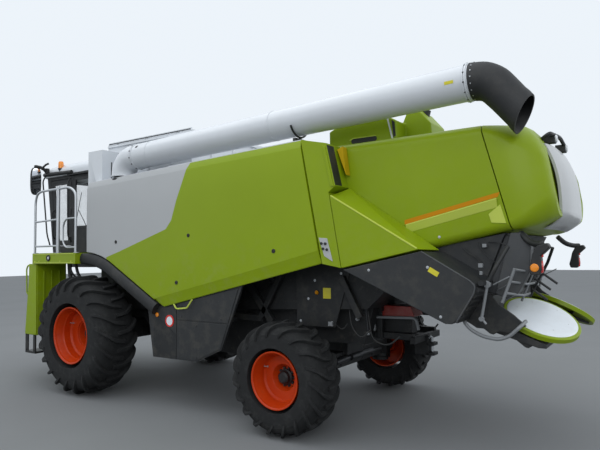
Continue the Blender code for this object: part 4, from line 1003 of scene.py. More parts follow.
# Grain tank, its lids and the covers beside it
rounded("grain_tank", "grain_tank_shell", pale, 0.012)
ribs = []
for word, side in bothSides:
    for x in (-0.35, -0.85, -1.35):
        ribs.append(boxPart((x - 0.02, min(side * 0.915, side * 0.935), 3.34),
                (x + 0.02, max(side * 0.915, side * 0.935), 3.88)))
    tankRim = (min(side * 0.905, side * 0.945), max(side * 0.905, side * 0.945))
    ribs.append(boxPart((-1.84, tankRim[0], 3.895), (0.15, tankRim[1], 3.925)))
for y in (-0.5, 0.0, 0.5):
    ribs.append(boxPart((-1.825, y - 0.02, 3.42), (-1.795, y + 0.02, 3.88)))
ribs.append(boxPart((-1.84, -0.94, 3.895), (-1.79, 0.94, 3.925)))
piece("tank_ribs", ribs, pale, bevel=0.006)
for word, side in bothSides:
    rounded(word + "_tank_lid", word + "_lid_shell", pale, 0.008)
    parts = []
    for x in (-1.6, -1.22, -0.84, -0.46, -0.08):
        ys = sideSpan(side, 0.06, 0.86)
        parts.append(boxPart((x - 0.03, ys[0], 3.955), (x + 0.03, ys[1], 3.972)))
    # upturned lip along the outer edge, with a dark seal under it
    ys = sideSpan(side, 0.895, 0.918)
    parts.append(boxPart((-1.79, ys[0], 3.955), (0.15, ys[1], 3.985)))
    piece(word + "_lid_ribs", parts, pale, word + "_tank_lid", bevel=0.005)
    ys = sideSpan(side, 0.919, 0.929)
    piece(word + "_lid_seal", [boxPart((-1.78, ys[0], 3.956), (0.14, ys[1], 3.966))], blackPart,
          word + "_tank_lid", bevel=0.002)
    hinges = [tubePart([(x - 0.04, side * 0.92, 3.9453), (x + 0.04, side * 0.92, 3.9453)], 0.008, sides=12)
              for x in (-1.5, -0.8, -0.1)]
    piece(word + "_lid_hinges", hinges, zinc)

rounded("engine_deck", "deck_shell", pale, 0.018)
details = []
slots = []
for word, side in bothSides:
    # gutter beside the tank, seams of the shoulder covers and the dark gap behind them
    ys = sideSpan(side, 0.935, 0.965)
    details.append(boxPart((-1.83, ys[0], 3.27), (-0.22, ys[1], 3.345)))
    ys = sideSpan(side, 1.12, 1.135)
    slots.append(boxPart((-0.205, ys[0], 3.3), (-0.196, ys[1], 3.6)))
    ys = sideSpan(side, 1.02, 1.26)
    slots.append(boxPart((0.158, ys[0], 3.6), (0.164, ys[1], 3.66)))
    slots.append(boxPart((0.158, ys[0], 3.44), (0.164, ys[1], 3.45)))
    details += boltParts([(0.16, side * y, z) for y in (0.97, 1.27) for z in (3.4, 3.74)], (1, 0, 0), 0.009,
            0.006)
for x in np.arange(-2.35, -3.7, -0.085):
    details.append(prismPart([(x, 3.352), (x - 0.055, 3.398), (x - 0.06, 3.394), (x - 0.008, 3.348)], -0.78,
            0.78))
details.append(boxPart((-3.78, -0.82, 3.36), (-3.74, 0.82, 3.42)))
details += [boxPart((-3.78, y - 0.02, 3.345), (-2.28, y + 0.02, 3.405)) for y in (-0.8, 0.8)]
piece("deck_details", details, pale, bevel=0.002)
slots.append(boxPart((-3.76, -0.78, 3.343), (-2.3, 0.78, 3.352)))
piece("deck_slots", slots, blackPart)
# the turning ring under the riser, with its bolts and swing cylinder
ring = [turnedPart([(0, -0.06), (0.185, -0.06), (0.185, -0.035), (0.15, -0.03), (0.15, -0.006), (0, -0.006)],
                   (auger["x"], auger["y"], auger["foot"]), (0, 0, 1), 48)]
ring += boltParts(ringPlaces((auger["x"], auger["y"], auger["foot"] - 0.035), (0, 0, 1), 0.168, 14),
        (0, 0, 1), 0.008, 0.007)
piece("auger_turning_ring", ring, steel)
cylinder = [tubePart([(-0.86, 1.06, 3.34), (-1.28, 1.02, 3.37)], 0.03, sides=18)]
piece("swing_cylinder", cylinder, blackPart, bevel=0.004)
# cradle that the long tube rests in
cradle = [boxPart((-3.98, 1.14, 3.4), (-3.93, 1.36, 3.46)),
          boxPart((-3.98, 1.235, 3.38), (-3.93, 1.265, 3.47))]
turn = np.linspace(np.pi * 1.14, np.pi * 1.86, 14)
middle = augerPoint(-3.955)
saddle = [tuple(middle + np.array([0, cos(t), sin(t)]) * 0.203) for t in turn]
cradle.append(tubePart(saddle, 0.013, 0.01, 8))
piece("auger_cradle", cradle, blackPart, bevel=0.004)

# Engine cover at the back of the deck: louvred top, recessed sides and the exhaust end
rounded("engine_hood", "engine_cover_shell", green, 0.045)
louvres, recesses, strips = [], [], []
for word, side in bothSides:
    # smooth sides with one dark pill-shaped recess, a pale edge strip and a dark slot at the rear
    ys = sideSpan(side, 0.894, 0.9025)
    turn = np.linspace(np.pi / 2, 3 * np.pi / 2, 9)
    pill = [(-4.78 + 0.03 * cos(t), 3.42 + 0.03 * sin(t)) for t in turn]
    pill += [(-4.5 - 0.03 * cos(t), 3.42 - 0.03 * sin(t)) for t in turn]
    recesses.append(prismPart(pill, *ys))
    recessLip = [(-4.8, 3.455), (-4.5, 3.458), (-4.44, 3.44), (-4.455, 3.432), (-4.5, 3.45), (-4.8, 3.448)]
    louvres.append(prismPart(recessLip, ys[0] - 0.002, ys[1] + 0.004))
    recesses.append(prismPart([(-5.0, 3.61), (-5.035, 3.58), (-5.046, 3.42), (-5.02, 3.4)], *ys))
    ys = sideSpan(side, 0.88, 0.906)
    strips.append(prismPart([(-4.935, 3.655), (-4.955, 3.655), (-5.02, 3.375), (-5.0, 3.375)], *ys))
for x in np.arange(-4.36, -4.92, -0.04):
    louvres.append(boxPart((x - 0.01, -0.6, 3.652), (x + 0.01, 0.6, 3.668)))
recesses.append(boxPart((-4.93, -0.62, 3.64), (-4.34, 0.62, 3.657)))
# the louvres and the lips over the recesses take the paler green: painted highlight
piece("cover_louvres", louvres, highlightGreen, bevel=0.002)
piece("cover_strips", strips, pale, bevel=0.002)
piece("cover_screens", recesses, blackPart)
pipe = [turnedPart([(0.052, 0), (0.06, 0), (0.06, 0.1), (0.052, 0.1)], (-5.19, 0.38, 3.7), (-0.3, 0, 1), 28)]
piece("exhaust_end", pipe, steel)
coverRails = [tubePart([(-4.22, side * 0.86, 3.37), (-4.22, side * 0.86, 3.7), (-4.92, side * 0.86, 3.74),
        (-4.96, side * 0.86, 3.6)],
                  0.012, 0.06, 8) for side in (1, -1)]
piece("cover_rails", coverRails, zinc)
print("top made")

# Cab
cab = {"half": 0.9, "rear": 0.5, "front": 1.8, "lean": 0.1439, "floor": 2.17, "eaves": 3.56}


def cabFront(z):
    # the windscreen leans forward evenly with height
    return cab["front"] + cab["lean"] * (z - cab["floor"])


rounded("cab_frame", "cab_frame_shell", dark, 0.01)
rounded("cab_door", "cab_door_shell", dark, 0.008)
for pane in ("windscreen", "quarter_glass", "right_glass", "door_glass"):
    kept(pane, glazing)


def roofShell():
    # rounded-rectangle rings, shrinking as they rise to a low crown; the corner radius grows with the height
    rings = []
    for share in np.linspace(0, 1, 12):
        turn = share * np.pi / 2
        z = cab["eaves"] + 0.004 + 0.07 * min(1.0, share * 4) + 0.186 * sin(turn) ** 1.3
        inset = 0.02 * (1 - min(1.0, share * 4)) + 0.3 * (1 - cos(turn)) ** 1.1
        low, high = 0.43 + inset * 0.6, 2.14 - inset * 1.7
        half, corner = 0.94 - inset * 0.9, 0.1 + 0.1 * share
        ring = []
        for cx, cy, start in ((high, half, 0), (low, half, 1), (low, -half, 2), (high, -half, 3)):
            bend = np.linspace(start * np.pi / 2, (start + 1) * np.pi / 2, 7)
            ring += [(cx - corner * np.sign(cx - 1.3) + corner * cos(t),
                      cy - corner * np.sign(cy) + corner * sin(t), z) for t in bend]
        rings.append(ring)
    piece("cab_roof_shell", [gridPart(np.array(rings))], pale, smooth=40.0,
          stands=("cab_roof",))


roofShell()
# dark lamp bar round the front edge of the roof, with its work lamps, and the gutter along each side
parts = [tubePart([(1.15, 0.955, 3.6), (1.96, 0.955, 3.62), (2.12, 0.9, 3.63), (2.165, 0, 3.64),
        (2.12, -0.9, 3.63),
                   (1.96, -0.955, 3.62), (1.15, -0.955, 3.6)], 0.034, 0.14, 16)]
for word, side in bothSides:
    ys = sideSpan(side, 0.905, 0.952)
    parts.append(boxPart((0.5, ys[0], 3.545), (1.3, ys[1], 3.585)))
piece("roof_lamp_bar", parts, blackPart, bevel=0.006)
bowls, lampFaces = [], []
for y in (-0.72, -0.46, -0.2, 0.2, 0.46, 0.72):
    bowls.append(turnedPart([(0, -0.05), (0.045, -0.05), (0.062, 0), (0.062, 0.012), (0, 0.012)],
            (2.135, y, 3.695), (1, 0, -0.2), 24))
    lampFaces.append(turnedPart([(0, 0.01), (0.054, 0.01), (0.05, 0.018), (0, 0.024)], (2.135, y, 3.695),
            (1, 0, -0.2), 24))
piece("roof_lamp_bowls", bowls, blackPart, bevel=0.002)
piece("roof_lamp_faces", lampFaces, clearLens)
# amber beacons on short dark stems
stems, caps = [], []
for side in (1, -1):
    place = (1.57, side * 0.9, 3.66)
    stems.append(turnedPart([(0, -0.05), (0.03, -0.05), (0.03, 0.02), (0.052, 0.03), (0.052, 0.05),
            (0, 0.05)], place, (0, 0, 1), 24))
    caps.append(turnedPart([(0, 0.048), (0.046, 0.048), (0.048, 0.1), (0.046, 0.15), (0.034, 0.175),
            (0, 0.183)], place, (0, 0, 1), 28))
piece("beacon_stems", stems, blackPart, bevel=0.002)
piece("beacon_caps", caps, amberLens, smooth=50.0)

# door furniture: grip, lock, hinges and the seals round both left panes
z0, z1 = cab["floor"] + 0.12, cab["eaves"] - 0.06


def frameLoop(outline, y, half, depth, name, body, material=blackPart):
    # a flat band round an outline, lying on one side of the cab
    outer = np.array(outline, float)
    middle = outer.mean(0)
    inner = middle + (outer - middle) * (1 - half * 2 / np.abs(outer - middle).max(0))
    rings = [[(x, y, z) for x, z in ring] for ring in (outer, inner)]
    rings += [[(x, y + depth, z) for x, z in ring] for ring in (inner, outer)]
    piece(name, [gridPart(np.array(rings).transpose(1, 0, 2), wrapRows=True)], material, body,
          bevel=0.003)


doorPane = [(1.31, z0 + 0.06), (cabFront(z0) - 0.18, z0 + 0.06), (cabFront(z1) - 0.19, z1 - 0.06),
            (1.31, z1 - 0.06)]
frameLoop(doorPane, 0.88, 0.02, 0.018, "door_seal", "cab_door")
frameLoop([(0.6, z0 + 0.3), (1.15, z0 + 0.3), (1.15, z1), (0.6, z1)], 0.88, 0.022, 0.026, "quarter_seal",
          "chassis")
frameLoop([(0.6, z0 + 0.12), (cabFront(z0) - 0.08, z0 + 0.12), (cabFront(z1) - 0.09, z1), (0.6, z1)], -0.906,
          0.022, 0.026,
          "right_seal", "chassis")
grip = [tubePart([(1.72, 0.9, 2.42), (1.72, 0.95, 2.45), (1.75, 0.95, 2.92), (1.75, 0.9, 2.95)], 0.014, 0.03,
        10),
        boxPart((1.6, 0.895, 2.36), (1.7, 0.922, 2.42))]
grip += [tubePart([(1.252, 0.9, z - 0.05), (1.252, 0.9, z + 0.05)], 0.015, sides=24)
         for z in (2.4, 2.9, 3.38)]
piece("door_grip", grip, blackPart, "cab_door", bevel=0.003)
# upright grab tubes beside the door, as seen under the roof bar
grab = [tubePart([(1.975, 0.955, 3.59), (1.985, 1.0, 3.5), (1.83, 1.0, 2.5), (1.81, 0.95, 2.3)], 0.013, 0.08,
        10),
        tubePart([(1.22, 0.93, 3.5), (1.2, 1.0, 3.42), (1.18, 1.0, 2.45), (1.18, 0.93, 2.36)], 0.013, 0.06,
        10)]
piece("door_grab_tubes", grab, blackPart)
wiper = [tubePart([(cabFront(2.36) + 0.012, 0.0, 2.36), (cabFront(2.6) + 0.02, 0.1, 2.6),
        (cabFront(3.02) + 0.014, 0.3, 3.02)],
                  0.007, 0.05, 8), boxPart((cabFront(2.33) - 0.01, -0.05, 2.3),
        (cabFront(2.33) + 0.022, 0.05, 2.37))]
blade = [tubePart([(cabFront(2.62) + 0.004, 0.42, 2.62), (cabFront(3.36) + 0.004, 0.2, 3.36)], 0.006,
        sides=8)]
piece("screen_wiper", wiper + blade, blackPart)
# panel behind the cab, seen between its rear pillar and the tank
back = [boxPart((0.34, -0.88, 2.2), (0.4, 0.88, 3.52))]
back += [boxPart((0.325, y - 0.02, 2.46), (0.345, y + 0.02, 3.46)) for y in (-0.6, -0.3, 0.0, 0.3, 0.6)]
back += [boxPart((0.39, y - 0.05, z - 0.04), (0.51, y + 0.05, z + 0.04)) for y in (-0.7, 0.7)
         for z in (2.6, 3.3)]
piece("cab_back_plate", back, pale, bevel=0.004)

# seat: crowned cushions on a pedestal, with its arm console
def cushion(low, high, crown, pinch=0.05):
    # superellipse outline: its height rises to a crown in the middle and its sides pull in at the seams
    low, high = np.array(low, float), np.array(high, float)
    middle, half = (low + high) / 2, (high - low) / 2
    up = np.linspace(-1, 1, 15)
    turn = np.linspace(0, 2 * np.pi, 40, endpoint=False)
    cosine, sine = np.cos(turn), np.sin(turn)
    outline = np.stack([np.sign(cosine) * np.abs(cosine) ** 0.45, np.sign(sine) * np.abs(sine) ** 0.45], -1)
    rings = []
    for level in up:
        scale = (1 - abs(level) ** 3.2) ** (1 / 3.2) * (1 - pinch * cos(level * np.pi) * 0.5)
        ring = outline * max(scale, 0.02)
        height = level * (1 + crown * (1 - np.abs(ring).max(1) ** 2))
        rings.append(np.column_stack([middle[0] + half[0] * ring[:, 0], middle[1] + half[1] * ring[:, 1],
                                      middle[2] + half[2] * 0.86 * height]))
    return gridPart(np.array(rings))


def turnedAbout(part, place, angle):
    # the part leaned about a line across the machine
    points, faces = part
    x, z = points[:, 0] - place[0], points[:, 2] - place[1]
    return np.column_stack([place[0] + x * cos(angle) + z * sin(angle), points[:, 1],
                            place[1] - x * sin(angle) + z * cos(angle)]), faces


seatTop = 2.73
seatParts = [("seat_squab", [cushion((0.8, -0.235, seatTop - 0.155), (1.285, 0.235, seatTop), 0.25)]),
             ("seat_backrest", [turnedAbout(cushion((0.735, -0.225, seatTop + 0.02),
        (0.855, 0.225, seatTop + 0.56), 0.0),
                                            (0.8, seatTop), -0.06)]),
             ("seat_headrest", [cushion((0.715, -0.13, seatTop + 0.5), (0.795, 0.13, seatTop + 0.62), 0.1)])]
for name, parts in seatParts:
    made = piece(name, parts, cloth, smooth=60.0,
                 stands=("driver_seat",) if name == "seat_squab" else ())
base = [boxPart((0.9, -0.17, 2.232), (1.17, 0.17, 2.5)), boxPart((0.83, -0.21, 2.5), (1.25, 0.21, 2.575)),
        boxPart((0.92, -0.45, 2.232), (1.39, -0.26, 2.72)), boxPart((0.9, -0.44, 2.72), (1.4, -0.27, 2.8))]
piece("seat_base", base, blackPart, bevel=0.012)
controls = [tubePart([(1.28, -0.355, 2.79), (1.3, -0.355, 2.86), (1.33, -0.355, 2.93)], 0.014, 0.03, 10),
            turnedPart([(0, -0.035), (0.022, -0.03), (0.03, 0), (0.024, 0.035), (0, 0.042)],
        (1.335, -0.355, 2.94), (0.3, 0, 1), 20),
            boxPart((1.32, -0.52, 2.86), (1.35, -0.3, 3.02))]
piece("arm_controls", controls, blackPart, bevel=0.004)
column = [tubePart([(1.6, 0, 2.26), (1.56, 0, 2.42), (1.44, 0, 2.845)], 0.04, 0.08, 20),
          boxPart((1.51, -0.085, 2.232), (1.695, 0.085, 2.275))]
ahead = np.array([-0.25, 0, 0.968])
hub = np.array([1.44, 0, 2.851])
grip = [turnedPart([(0.18 + 0.016 * cos(t), 0.016 * sin(t))
        for t in np.linspace(0, 2 * np.pi, 10, endpoint=False)],
                   hub, ahead, 48), turnedPart([(0, -0.02), (0.045, -0.02), (0.05, 0), (0.036, 0.022),
        (0, 0.026)], hub, ahead, 28)]
for turn in (0.0, 2.1, 4.2):
    out = np.array([0.968 * cos(turn), sin(turn), 0.25 * cos(turn)]) * 0.178
    grip.append(tubePart([hub + out * 0.15, hub + out], 0.011, sides=8))
piece("steering_wheel", column + grip, blackPart, stands=("steering_column",))

# mirrors: tall rounded housings on arms from the roof bar
for word, side in bothSides:
    rings = []
    for share in np.linspace(0, 1, 9):
        # from the front shell back to the open face: an oval whose size swells and holds
        scale = 0.6 + 0.4 * sin(min(1.0, share * 1.5) * np.pi / 2)
        turn = np.linspace(0, 2 * np.pi, 36, endpoint=False)
        y = side * 1.17 + 0.098 * scale * np.sign(np.cos(turn)) * np.abs(np.cos(turn)) ** 0.6
        z = 3.475 + 0.252 * scale ** 0.6 * np.sign(np.sin(turn)) * np.abs(np.sin(turn)) ** 0.6
        rings.append(np.column_stack([np.full(36, 1.982 - 0.07 * share), y, z]))
    shell = gridPart(np.array(rings))
    arm = [tubePart([(1.9, side * 0.95, 3.64), (1.92, side * 1.05, 3.735), (1.945, side * 1.17, 3.75)], 0.03,
                    0.05, 12),
           tubePart([(1.945, side * 1.17, 3.77), (1.945, side * 1.17, 3.55)], 0.022, sides=12),
           tubePart([(1.9, side * 1.09, 3.7), (1.84, side * 1.03, 3.79), (1.8, side * 1.0, 3.81)], 0.018,
                    0.03, 10),
           boxPart((1.87, side * 0.97 - 0.03, 3.64), (1.93, side * 0.97 + 0.03, 3.73))]
    ribs = [boxPart((1.978, side * 1.17 - 0.06, z - 0.006), (1.987, side * 1.17 + 0.06, z + 0.006))
            for z in (3.36, 3.43, 3.5, 3.57)]
    piece(word + "_mirror_housing", [shell] + arm + ribs, blackPart, bevel=0.003,
          stands=(word + "_mirror",))
    turn = np.linspace(0, 2 * np.pi, 36, endpoint=False)
    y = side * 1.17 + 0.086 * np.sign(np.cos(turn)) * np.abs(np.cos(turn)) ** 0.6
    z = 3.475 + 0.235 * np.sign(np.sin(turn)) * np.abs(np.sin(turn)) ** 0.6
    plates = np.array([np.column_stack([np.full(36, x), y, z]) for x in (1.913, 1.9075)])
    piece(word + "_mirror_face", [gridPart(plates)], mirrorFace)
print("cab made")

# Platform, rails and ladder
rounded("left_platform", "platform_shell", green, 0.01)
piece("platform_tread", [boxPart((0.11, 0.95, 2.147), (1.28, 1.555, 2.156)),
        boxPart((1.28, 0.95, 2.145), (1.69, 1.27, 2.154))],
      treadPlate, bevel=0.001)
lamp = [turnedPart([(0, -0.01), (0.046, -0.01), (0.052, 0.004), (0.046, 0.018), (0.034, 0.018),
        (0.03, 0.008), (0, 0.008)],
                   (0.82, 1.57, 2.075), (0, 1, 0), 32)]
piece("platform_lamp", lamp, blackPart)
piece("platform_lamp_face", [turnedPart([(0, 0.007), (0.028, 0.007), (0.022, 0.013), (0, 0.016)],
        (0.82, 1.57, 2.075), (0, 1, 0), 24)],
      clearLens)
# edge strips of the platform in the paler green: painted highlight
fascia = [boxPart((0.14, 1.566, 1.992), (1.25, 1.576, 2.004)),
          boxPart((0.14, 1.566, 2.132), (1.25, 1.576, 2.144))]
fascia += boltParts([(x, 1.572, 2.02) for x in (0.2, 0.5, 1.1, 1.22)], (0, 1, 0), 0.009, 0.006)
piece("platform_fascia", fascia, highlightGreen, bevel=0.002)
hoses = [tubePart([(0.66, 1.3, 1.98), (0.6, 1.32, 1.72), (0.44, 1.26, 1.52), (0.3, 1.1, 1.4)], 0.034, 0.12,
        12),
         tubePart([(0.42, 1.34, 1.98), (0.36, 1.34, 1.8), (0.22, 1.24, 1.58), (0.16, 1.08, 1.46)], 0.024,
        0.12, 12),
         tubePart([(0.52, 1.36, 1.98), (0.5, 1.38, 1.86), (0.3, 1.3, 1.62), (0.2, 1.12, 1.5)], 0.016, 0.12,
        10)]
hoses += [boxPart((0.28, 1.02, 1.36), (0.36, 1.14, 1.44)), boxPart((0.13, 1.0, 1.42), (0.24, 1.12, 1.54))]
piece("platform_hoses", hoses, blackPart)

railY = 1.545
tubes = [tubePart([(1.27, railY, 2.151), (1.27, railY, 3.02), (1.22, railY, 3.15), (1.1, railY, 3.19),
        (0.28, railY, 3.2),
                   (0.12, railY, 3.1), (0.12, railY, 2.151)], 0.019, 0.09, 14),
         tubePart([(1.27, railY, 2.68), (0.6, railY, 2.7)], 0.015, sides=12),
         tubePart([(1.27, railY, 2.27), (0.6, railY, 2.27)], 0.015, sides=12),
         tubePart([(0.12, railY, 2.7), (0.38, railY, 2.7), (0.46, railY, 2.6), (0.46, railY, 2.32),
        (0.38, railY, 2.24),
                   (0.12, railY, 2.24)], 0.014, 0.08, 12),
         tubePart([(0.6, railY, 2.151), (0.6, railY, 3.235)], 0.028, sides=20)]
for x in (1.27, 0.6, 0.12):
    tubes.append(turnedPart([(0, 0), (0.045, 0), (0.045, 0.007), (0.03, 0.012), (0, 0.012)],
            (x, railY - 0.015, 2.151), (0, 0, 1), 24))
piece("rail_tubes", tubes, zinc, stands=("platform_rails",))

stringer = [(1.22, 1.979), (1.44, 1.979), (1.44, 1.75), (1.535, 0.84), (1.535, 0.8), (1.21, 0.8), (1.2, 0.84)]
ladderSides = [prismPart(stringer, 1.522, 1.55), prismPart(stringer, 1.0, 1.028)]
# closed back of the ladder, with its pressed ribs and its curved head
back = [(1.195, 0.8), (1.212, 0.8), (1.222, 1.6), (1.235, 1.979), (1.215, 1.979), (1.205, 1.6)]
ladderSides.append(prismPart(back, 1.02, 1.53))
ladderSides += [boxPart((1.188, y - 0.012, 0.86), (1.202, y + 0.012, 1.86)) for y in (1.14, 1.28, 1.42)]
steps, cleats = [], []
for i in range(1, 5):
    z = 0.49 + 0.3 * i
    steps.append(boxPart((1.225, 1.02, z), (1.5 - 0.02 * i, 1.53, z + 0.03)))
    cleats += [boxPart((1.26 + 0.055 * k, 1.05, z + 0.029), (1.275 + 0.055 * k, 1.5, z + 0.037))
               for k in range(4)]
ladderSides.append(tubePart([(1.5, 1.545, 1.5), (1.52, 1.545, 1.9), (1.46, 1.545, 1.965),
        (1.4, 1.545, 1.93)], 0.013, 0.05, 10))
ladderSides.append(tubePart([(1.5, 1.545, 1.5), (1.47, 1.54, 1.46), (1.45, 1.53, 1.44)], 0.013, 0.02, 10))
piece("ladder_shell", ladderSides + steps, green, "boarding_ladder", bevel=0.004, stands=("boarding_ladder",))
piece("ladder_cleats", cleats, zinc, "boarding_ladder", bevel=0.001)
low = [boxPart((1.235, y, 0.5), (1.3, y + 0.022, 0.83)) for y in (1.006, 1.52)]
low += [boxPart((1.46, y, 0.5), (1.535, y + 0.022, 0.83)) for y in (1.006, 1.52)]
low += [boxPart((1.235, 1.01, 0.486), (1.535, 1.54, 0.52))]
low += boltParts([(1.27, 1.545, 0.79), (1.5, 1.545, 0.79), (1.27, 1.545, 0.54), (1.5, 1.545, 0.54)],
        (0, 1, 0), 0.009, 0.006)
piece("ladder_foot", low, blackPart, "boarding_ladder", bevel=0.003)
print("platform made")

# Chopper, its ducts, the spreader and the lamps
darkPost = moulded("darkPostSheet", (0.05, 0.053, 0.057), 0.5, 700.0)
housing = [prismPart([(-4.98, 2.114), (-5.45, 1.47), (-5.9, 1.48), (-6.02, 1.7), (-6.23, 2.2), (-6.26, 2.26),
        (-5.45, 2.114)],
                     -1.06, 1.06)]
housing += [prismPart([(-5.89, 1.61), (-5.89, 1.41), (-5.97, 1.3), (-6.5, 1.14), (-6.575, 1.14),
        (-6.575, 1.175), (-6.09, 1.37),
                       (-6.06, 1.45), (-6.06, 1.62)], -0.95, 0.95)]
for word, side in bothSides:
    normal = np.array([-0.42, side * 0.35, 1.0])
    normal /= np.linalg.norm(normal)
    centre = np.array([-6.48, side * 0.62, 1.406])
    housing.append(turnedPart([(0, -0.26), (0.085, -0.26), (0.085, -0.128), (0.06, -0.122), (0, -0.122)],
            centre, normal, 28))
piece("chopper_shell", housing, darkSheet, bevel=0.006, stands=("chopper_housing",))
for word, side in bothSides:
    # duct: flat side plate, rolled rear end and a pale edge line over the seam
    near, far = side * 1.02, side * 1.45
    out = [(-4.63, 1.901), (-5.76, 1.384), (-5.83, 1.384), (-5.9, 1.44), (-6.055, 1.7), (-6.065, 1.77),
           (-6.02, 1.8), (-5.53, 2.091)]
    inn = [(-4.63, 1.901), (-5.76, 1.384), (-5.83, 1.384), (-5.91, 1.44), (-6.095, 1.73), (-6.11, 1.8),
           (-6.07, 1.84), (-5.64, 2.081)]
    rings = np.array([[(x, near, z) for x, z in inn], [(x, far, z) for x, z in out]])
    piece(word + "_duct_shell", [gridPart(rings)], darkSheet, bevel=0.01, smooth=30.0)
    line = [tubePart([(-5.535, side * 1.447, 2.088), (-6.02, side * 1.447, 1.799),
            (-6.062, side * 1.447, 1.75),
                      (-6.045, side * 1.447, 1.68), (-5.87, side * 1.447, 1.4)], 0.008, 0.04, 8)]
    piece(word + "_duct_edge", line, darkPost)
    rolls = []
    for k in range(7):
        share = k / 6
        x, z = -5.86 - 0.235 * share, 1.42 + 0.36 * share
        rolls.append(tubePart([(x - 0.012, side * 1.1, z), (x - 0.012, side * 1.425, z)], 0.026, sides=14))
    piece(word + "_duct_rolls", rolls, blackPart)
    tilt = np.array([-0.86, 0, -0.51])
    middle = np.array([-5.66, side * 1.4495, 1.885])
    labelOut = [(middle + tilt * a + np.array([-0.51, 0, 0.86]) * b) for a,
                b in ((-0.055, -0.025), (0.055, -0.025), (0.055, 0.025), (-0.055, 0.025))]
    ys = sideSpan(side, 1.447, 1.453)
    piece(word + "_duct_label", [prismPart([(p[0], p[2]) for p in labelOut], *ys)], yellow)
    screws = boltParts([(-5.6, side * 1.449, 1.93), (-4.95, side * 1.449, 1.9), (-5.72, side * 1.449, 1.45)],
            (0, side, 0), 0.01, 0.006)
    piece(word + "_duct_screws", screws, zinc)
    # lever, its pivots and the thin rods beside it
    y = side * 1.3
    rods = [tubePart([(-6.305, y - side * 0.12, 2.12), (-6.215, y, 1.925), (-6.134, y, 1.766)], 0.02, 0.03,
            12)]
    piece(word + "_lever_dark", rods, blackPart)
    bright = [tubePart([(-6.195, y, 1.88), (-6.134, y, 1.766), (-6.082, y, 1.5), (-6.07, y, 1.44)], 0.015,
            0.03, 10),
              turnedPart([(0, -0.02), (0.034, -0.02), (0.034, 0.02), (0, 0.02)], (-6.134, y, 1.766),
            (0, 1, 0), 24),
              turnedPart([(0, -0.02), (0.024, -0.02), (0.024, 0.02), (0, 0.02)], (-6.07, y, 1.435),
            (0, 1, 0), 20),
              tubePart([(-6.173, y - side * 0.05, 1.759), (-6.329, y - side * 0.05, 1.84)], 0.007, sides=8),
              tubePart([(-6.112, y, 1.386), (-6.085, y, 1.42), (-6.07, y, 1.435)], 0.012, 0.01, 8)]
    bright += [boxPart((-6.095, y - 0.03, 1.925), (-6.055, y + 0.01, 1.965)),
               boxPart((-6.09, y - 0.03, 1.855), (-6.065, y + 0.01, 1.89)),
               boxPart((-6.085, y - side * 0.2 - 0.02, 2.12), (-6.045, y - side * 0.2 + 0.02, 2.155))]
    piece(word + "_lever_steel", bright, greyTube, bevel=0.002)
    cables = [tubePart([(-5.995, side * 1.08, 2.17), (-6.046, side * 1.11, 2.085),
            (-6.108, side * 1.12, 2.007), (-6.185, side * 1.1, 1.955)], 0.006, 0.05, 8),
              tubePart([(-6.1, side * 1.08, 2.175), (-6.199, side * 1.11, 2.17),
            (-6.292, side * 1.09, 2.125)], 0.006, 0.05, 8),
              tubePart([(-5.84, side * 1.09, 2.12), (-5.9, side * 1.1, 2.06), (-5.98, side * 1.09, 2.02),
            (-6.04, side * 1.075, 1.92)], 0.006, 0.05, 8)]
    piece(word + "_hanging_cables", cables, blackPart)
    # guard tube bent under the side, and the scalloped plate above it
    guard = [tubePart([(-5.84, side * 1.1, 1.44), (-5.867, side * 1.2, 1.382), (-5.931, side * 1.2, 1.31),
            (-6.048, side * 1.2, 1.253),
                       (-6.194, side * 1.2, 1.232), (-6.298, side * 1.2, 1.271), (-6.401, side * 1.2, 1.372),
            (-6.41, side * 1.02, 1.4)],
                      0.018, 0.05, 12)]
    piece(word + "_guard_tube", guard, greyTube)
    plate = [(-5.8, 1.5), (-5.83, 1.392), (-5.9, 1.355), (-5.96, 1.318), (-6.03, 1.315), (-6.085, 1.272),
             (-6.12, 1.262),
             (-6.18, 1.3), (-6.27, 1.288), (-6.34, 1.32), (-6.429, 1.362), (-6.32, 1.46), (-6.178, 1.56),
             (-6.1, 1.66)]
    ys = sideSpan(side, 1.07, 1.1)
    piece(word + "_lower_plate", [prismPart(plate, *ys)], blackPart, bevel=0.003)
    # lamp bracket with its round amber lamp, red strip and reflector
    bracket = [(-6.665, 2.15), (-6.574, 2.125), (-6.535, 2.05), (-6.52, 1.985), (-6.498, 1.905),
               (-6.512, 1.858), (-6.59, 1.856),
               (-6.612, 1.905), (-6.606, 2.03), (-6.69, 2.11)]
    ys = sideSpan(side, 1.14, 1.25)
    arm = tubePart([(-6.39, side * 1.02, 2.26), (-6.47, side * 1.08, 2.17), (-6.55, side * 1.15, 2.14),
                    (-6.62, side * 1.2, 2.14)], 0.03, 0.07, 14)
    piece(word + "_lamp_bracket", [prismPart(bracket, *ys), arm], blackPart, bevel=0.01)
    marker = turnedPart([(0, -0.01), (0.038, -0.01), (0.038, 0.008), (0.03, 0.016), (0, 0.018)],
            (-6.552, side * 1.25, 1.922), (0, side, 0), 28)
    piece(word + "_amber_lamp", [marker], amberLens)
    ovals = [turnedPart([(0, -0.006), (0.04, -0.006), (0.036, 0.012), (0, 0.018)],
            (-6.606, side * 1.2, 1.93), (-1, 0, 0), 24)]
    points, faces = ovals[0]
    ovals[0] = (points * np.array([1, 0.7, 1.5]) + np.array([0, side * 1.2 * 0.3, -1.93 * 0.5]), faces)
    ovals.append(boxPart((-6.624, side * 1.2 - 0.012, 2.02), (-6.6, side * 1.2 + 0.012, 2.1)))
    piece(word + "_red_lamps", ovals, redLens, bevel=0.003)

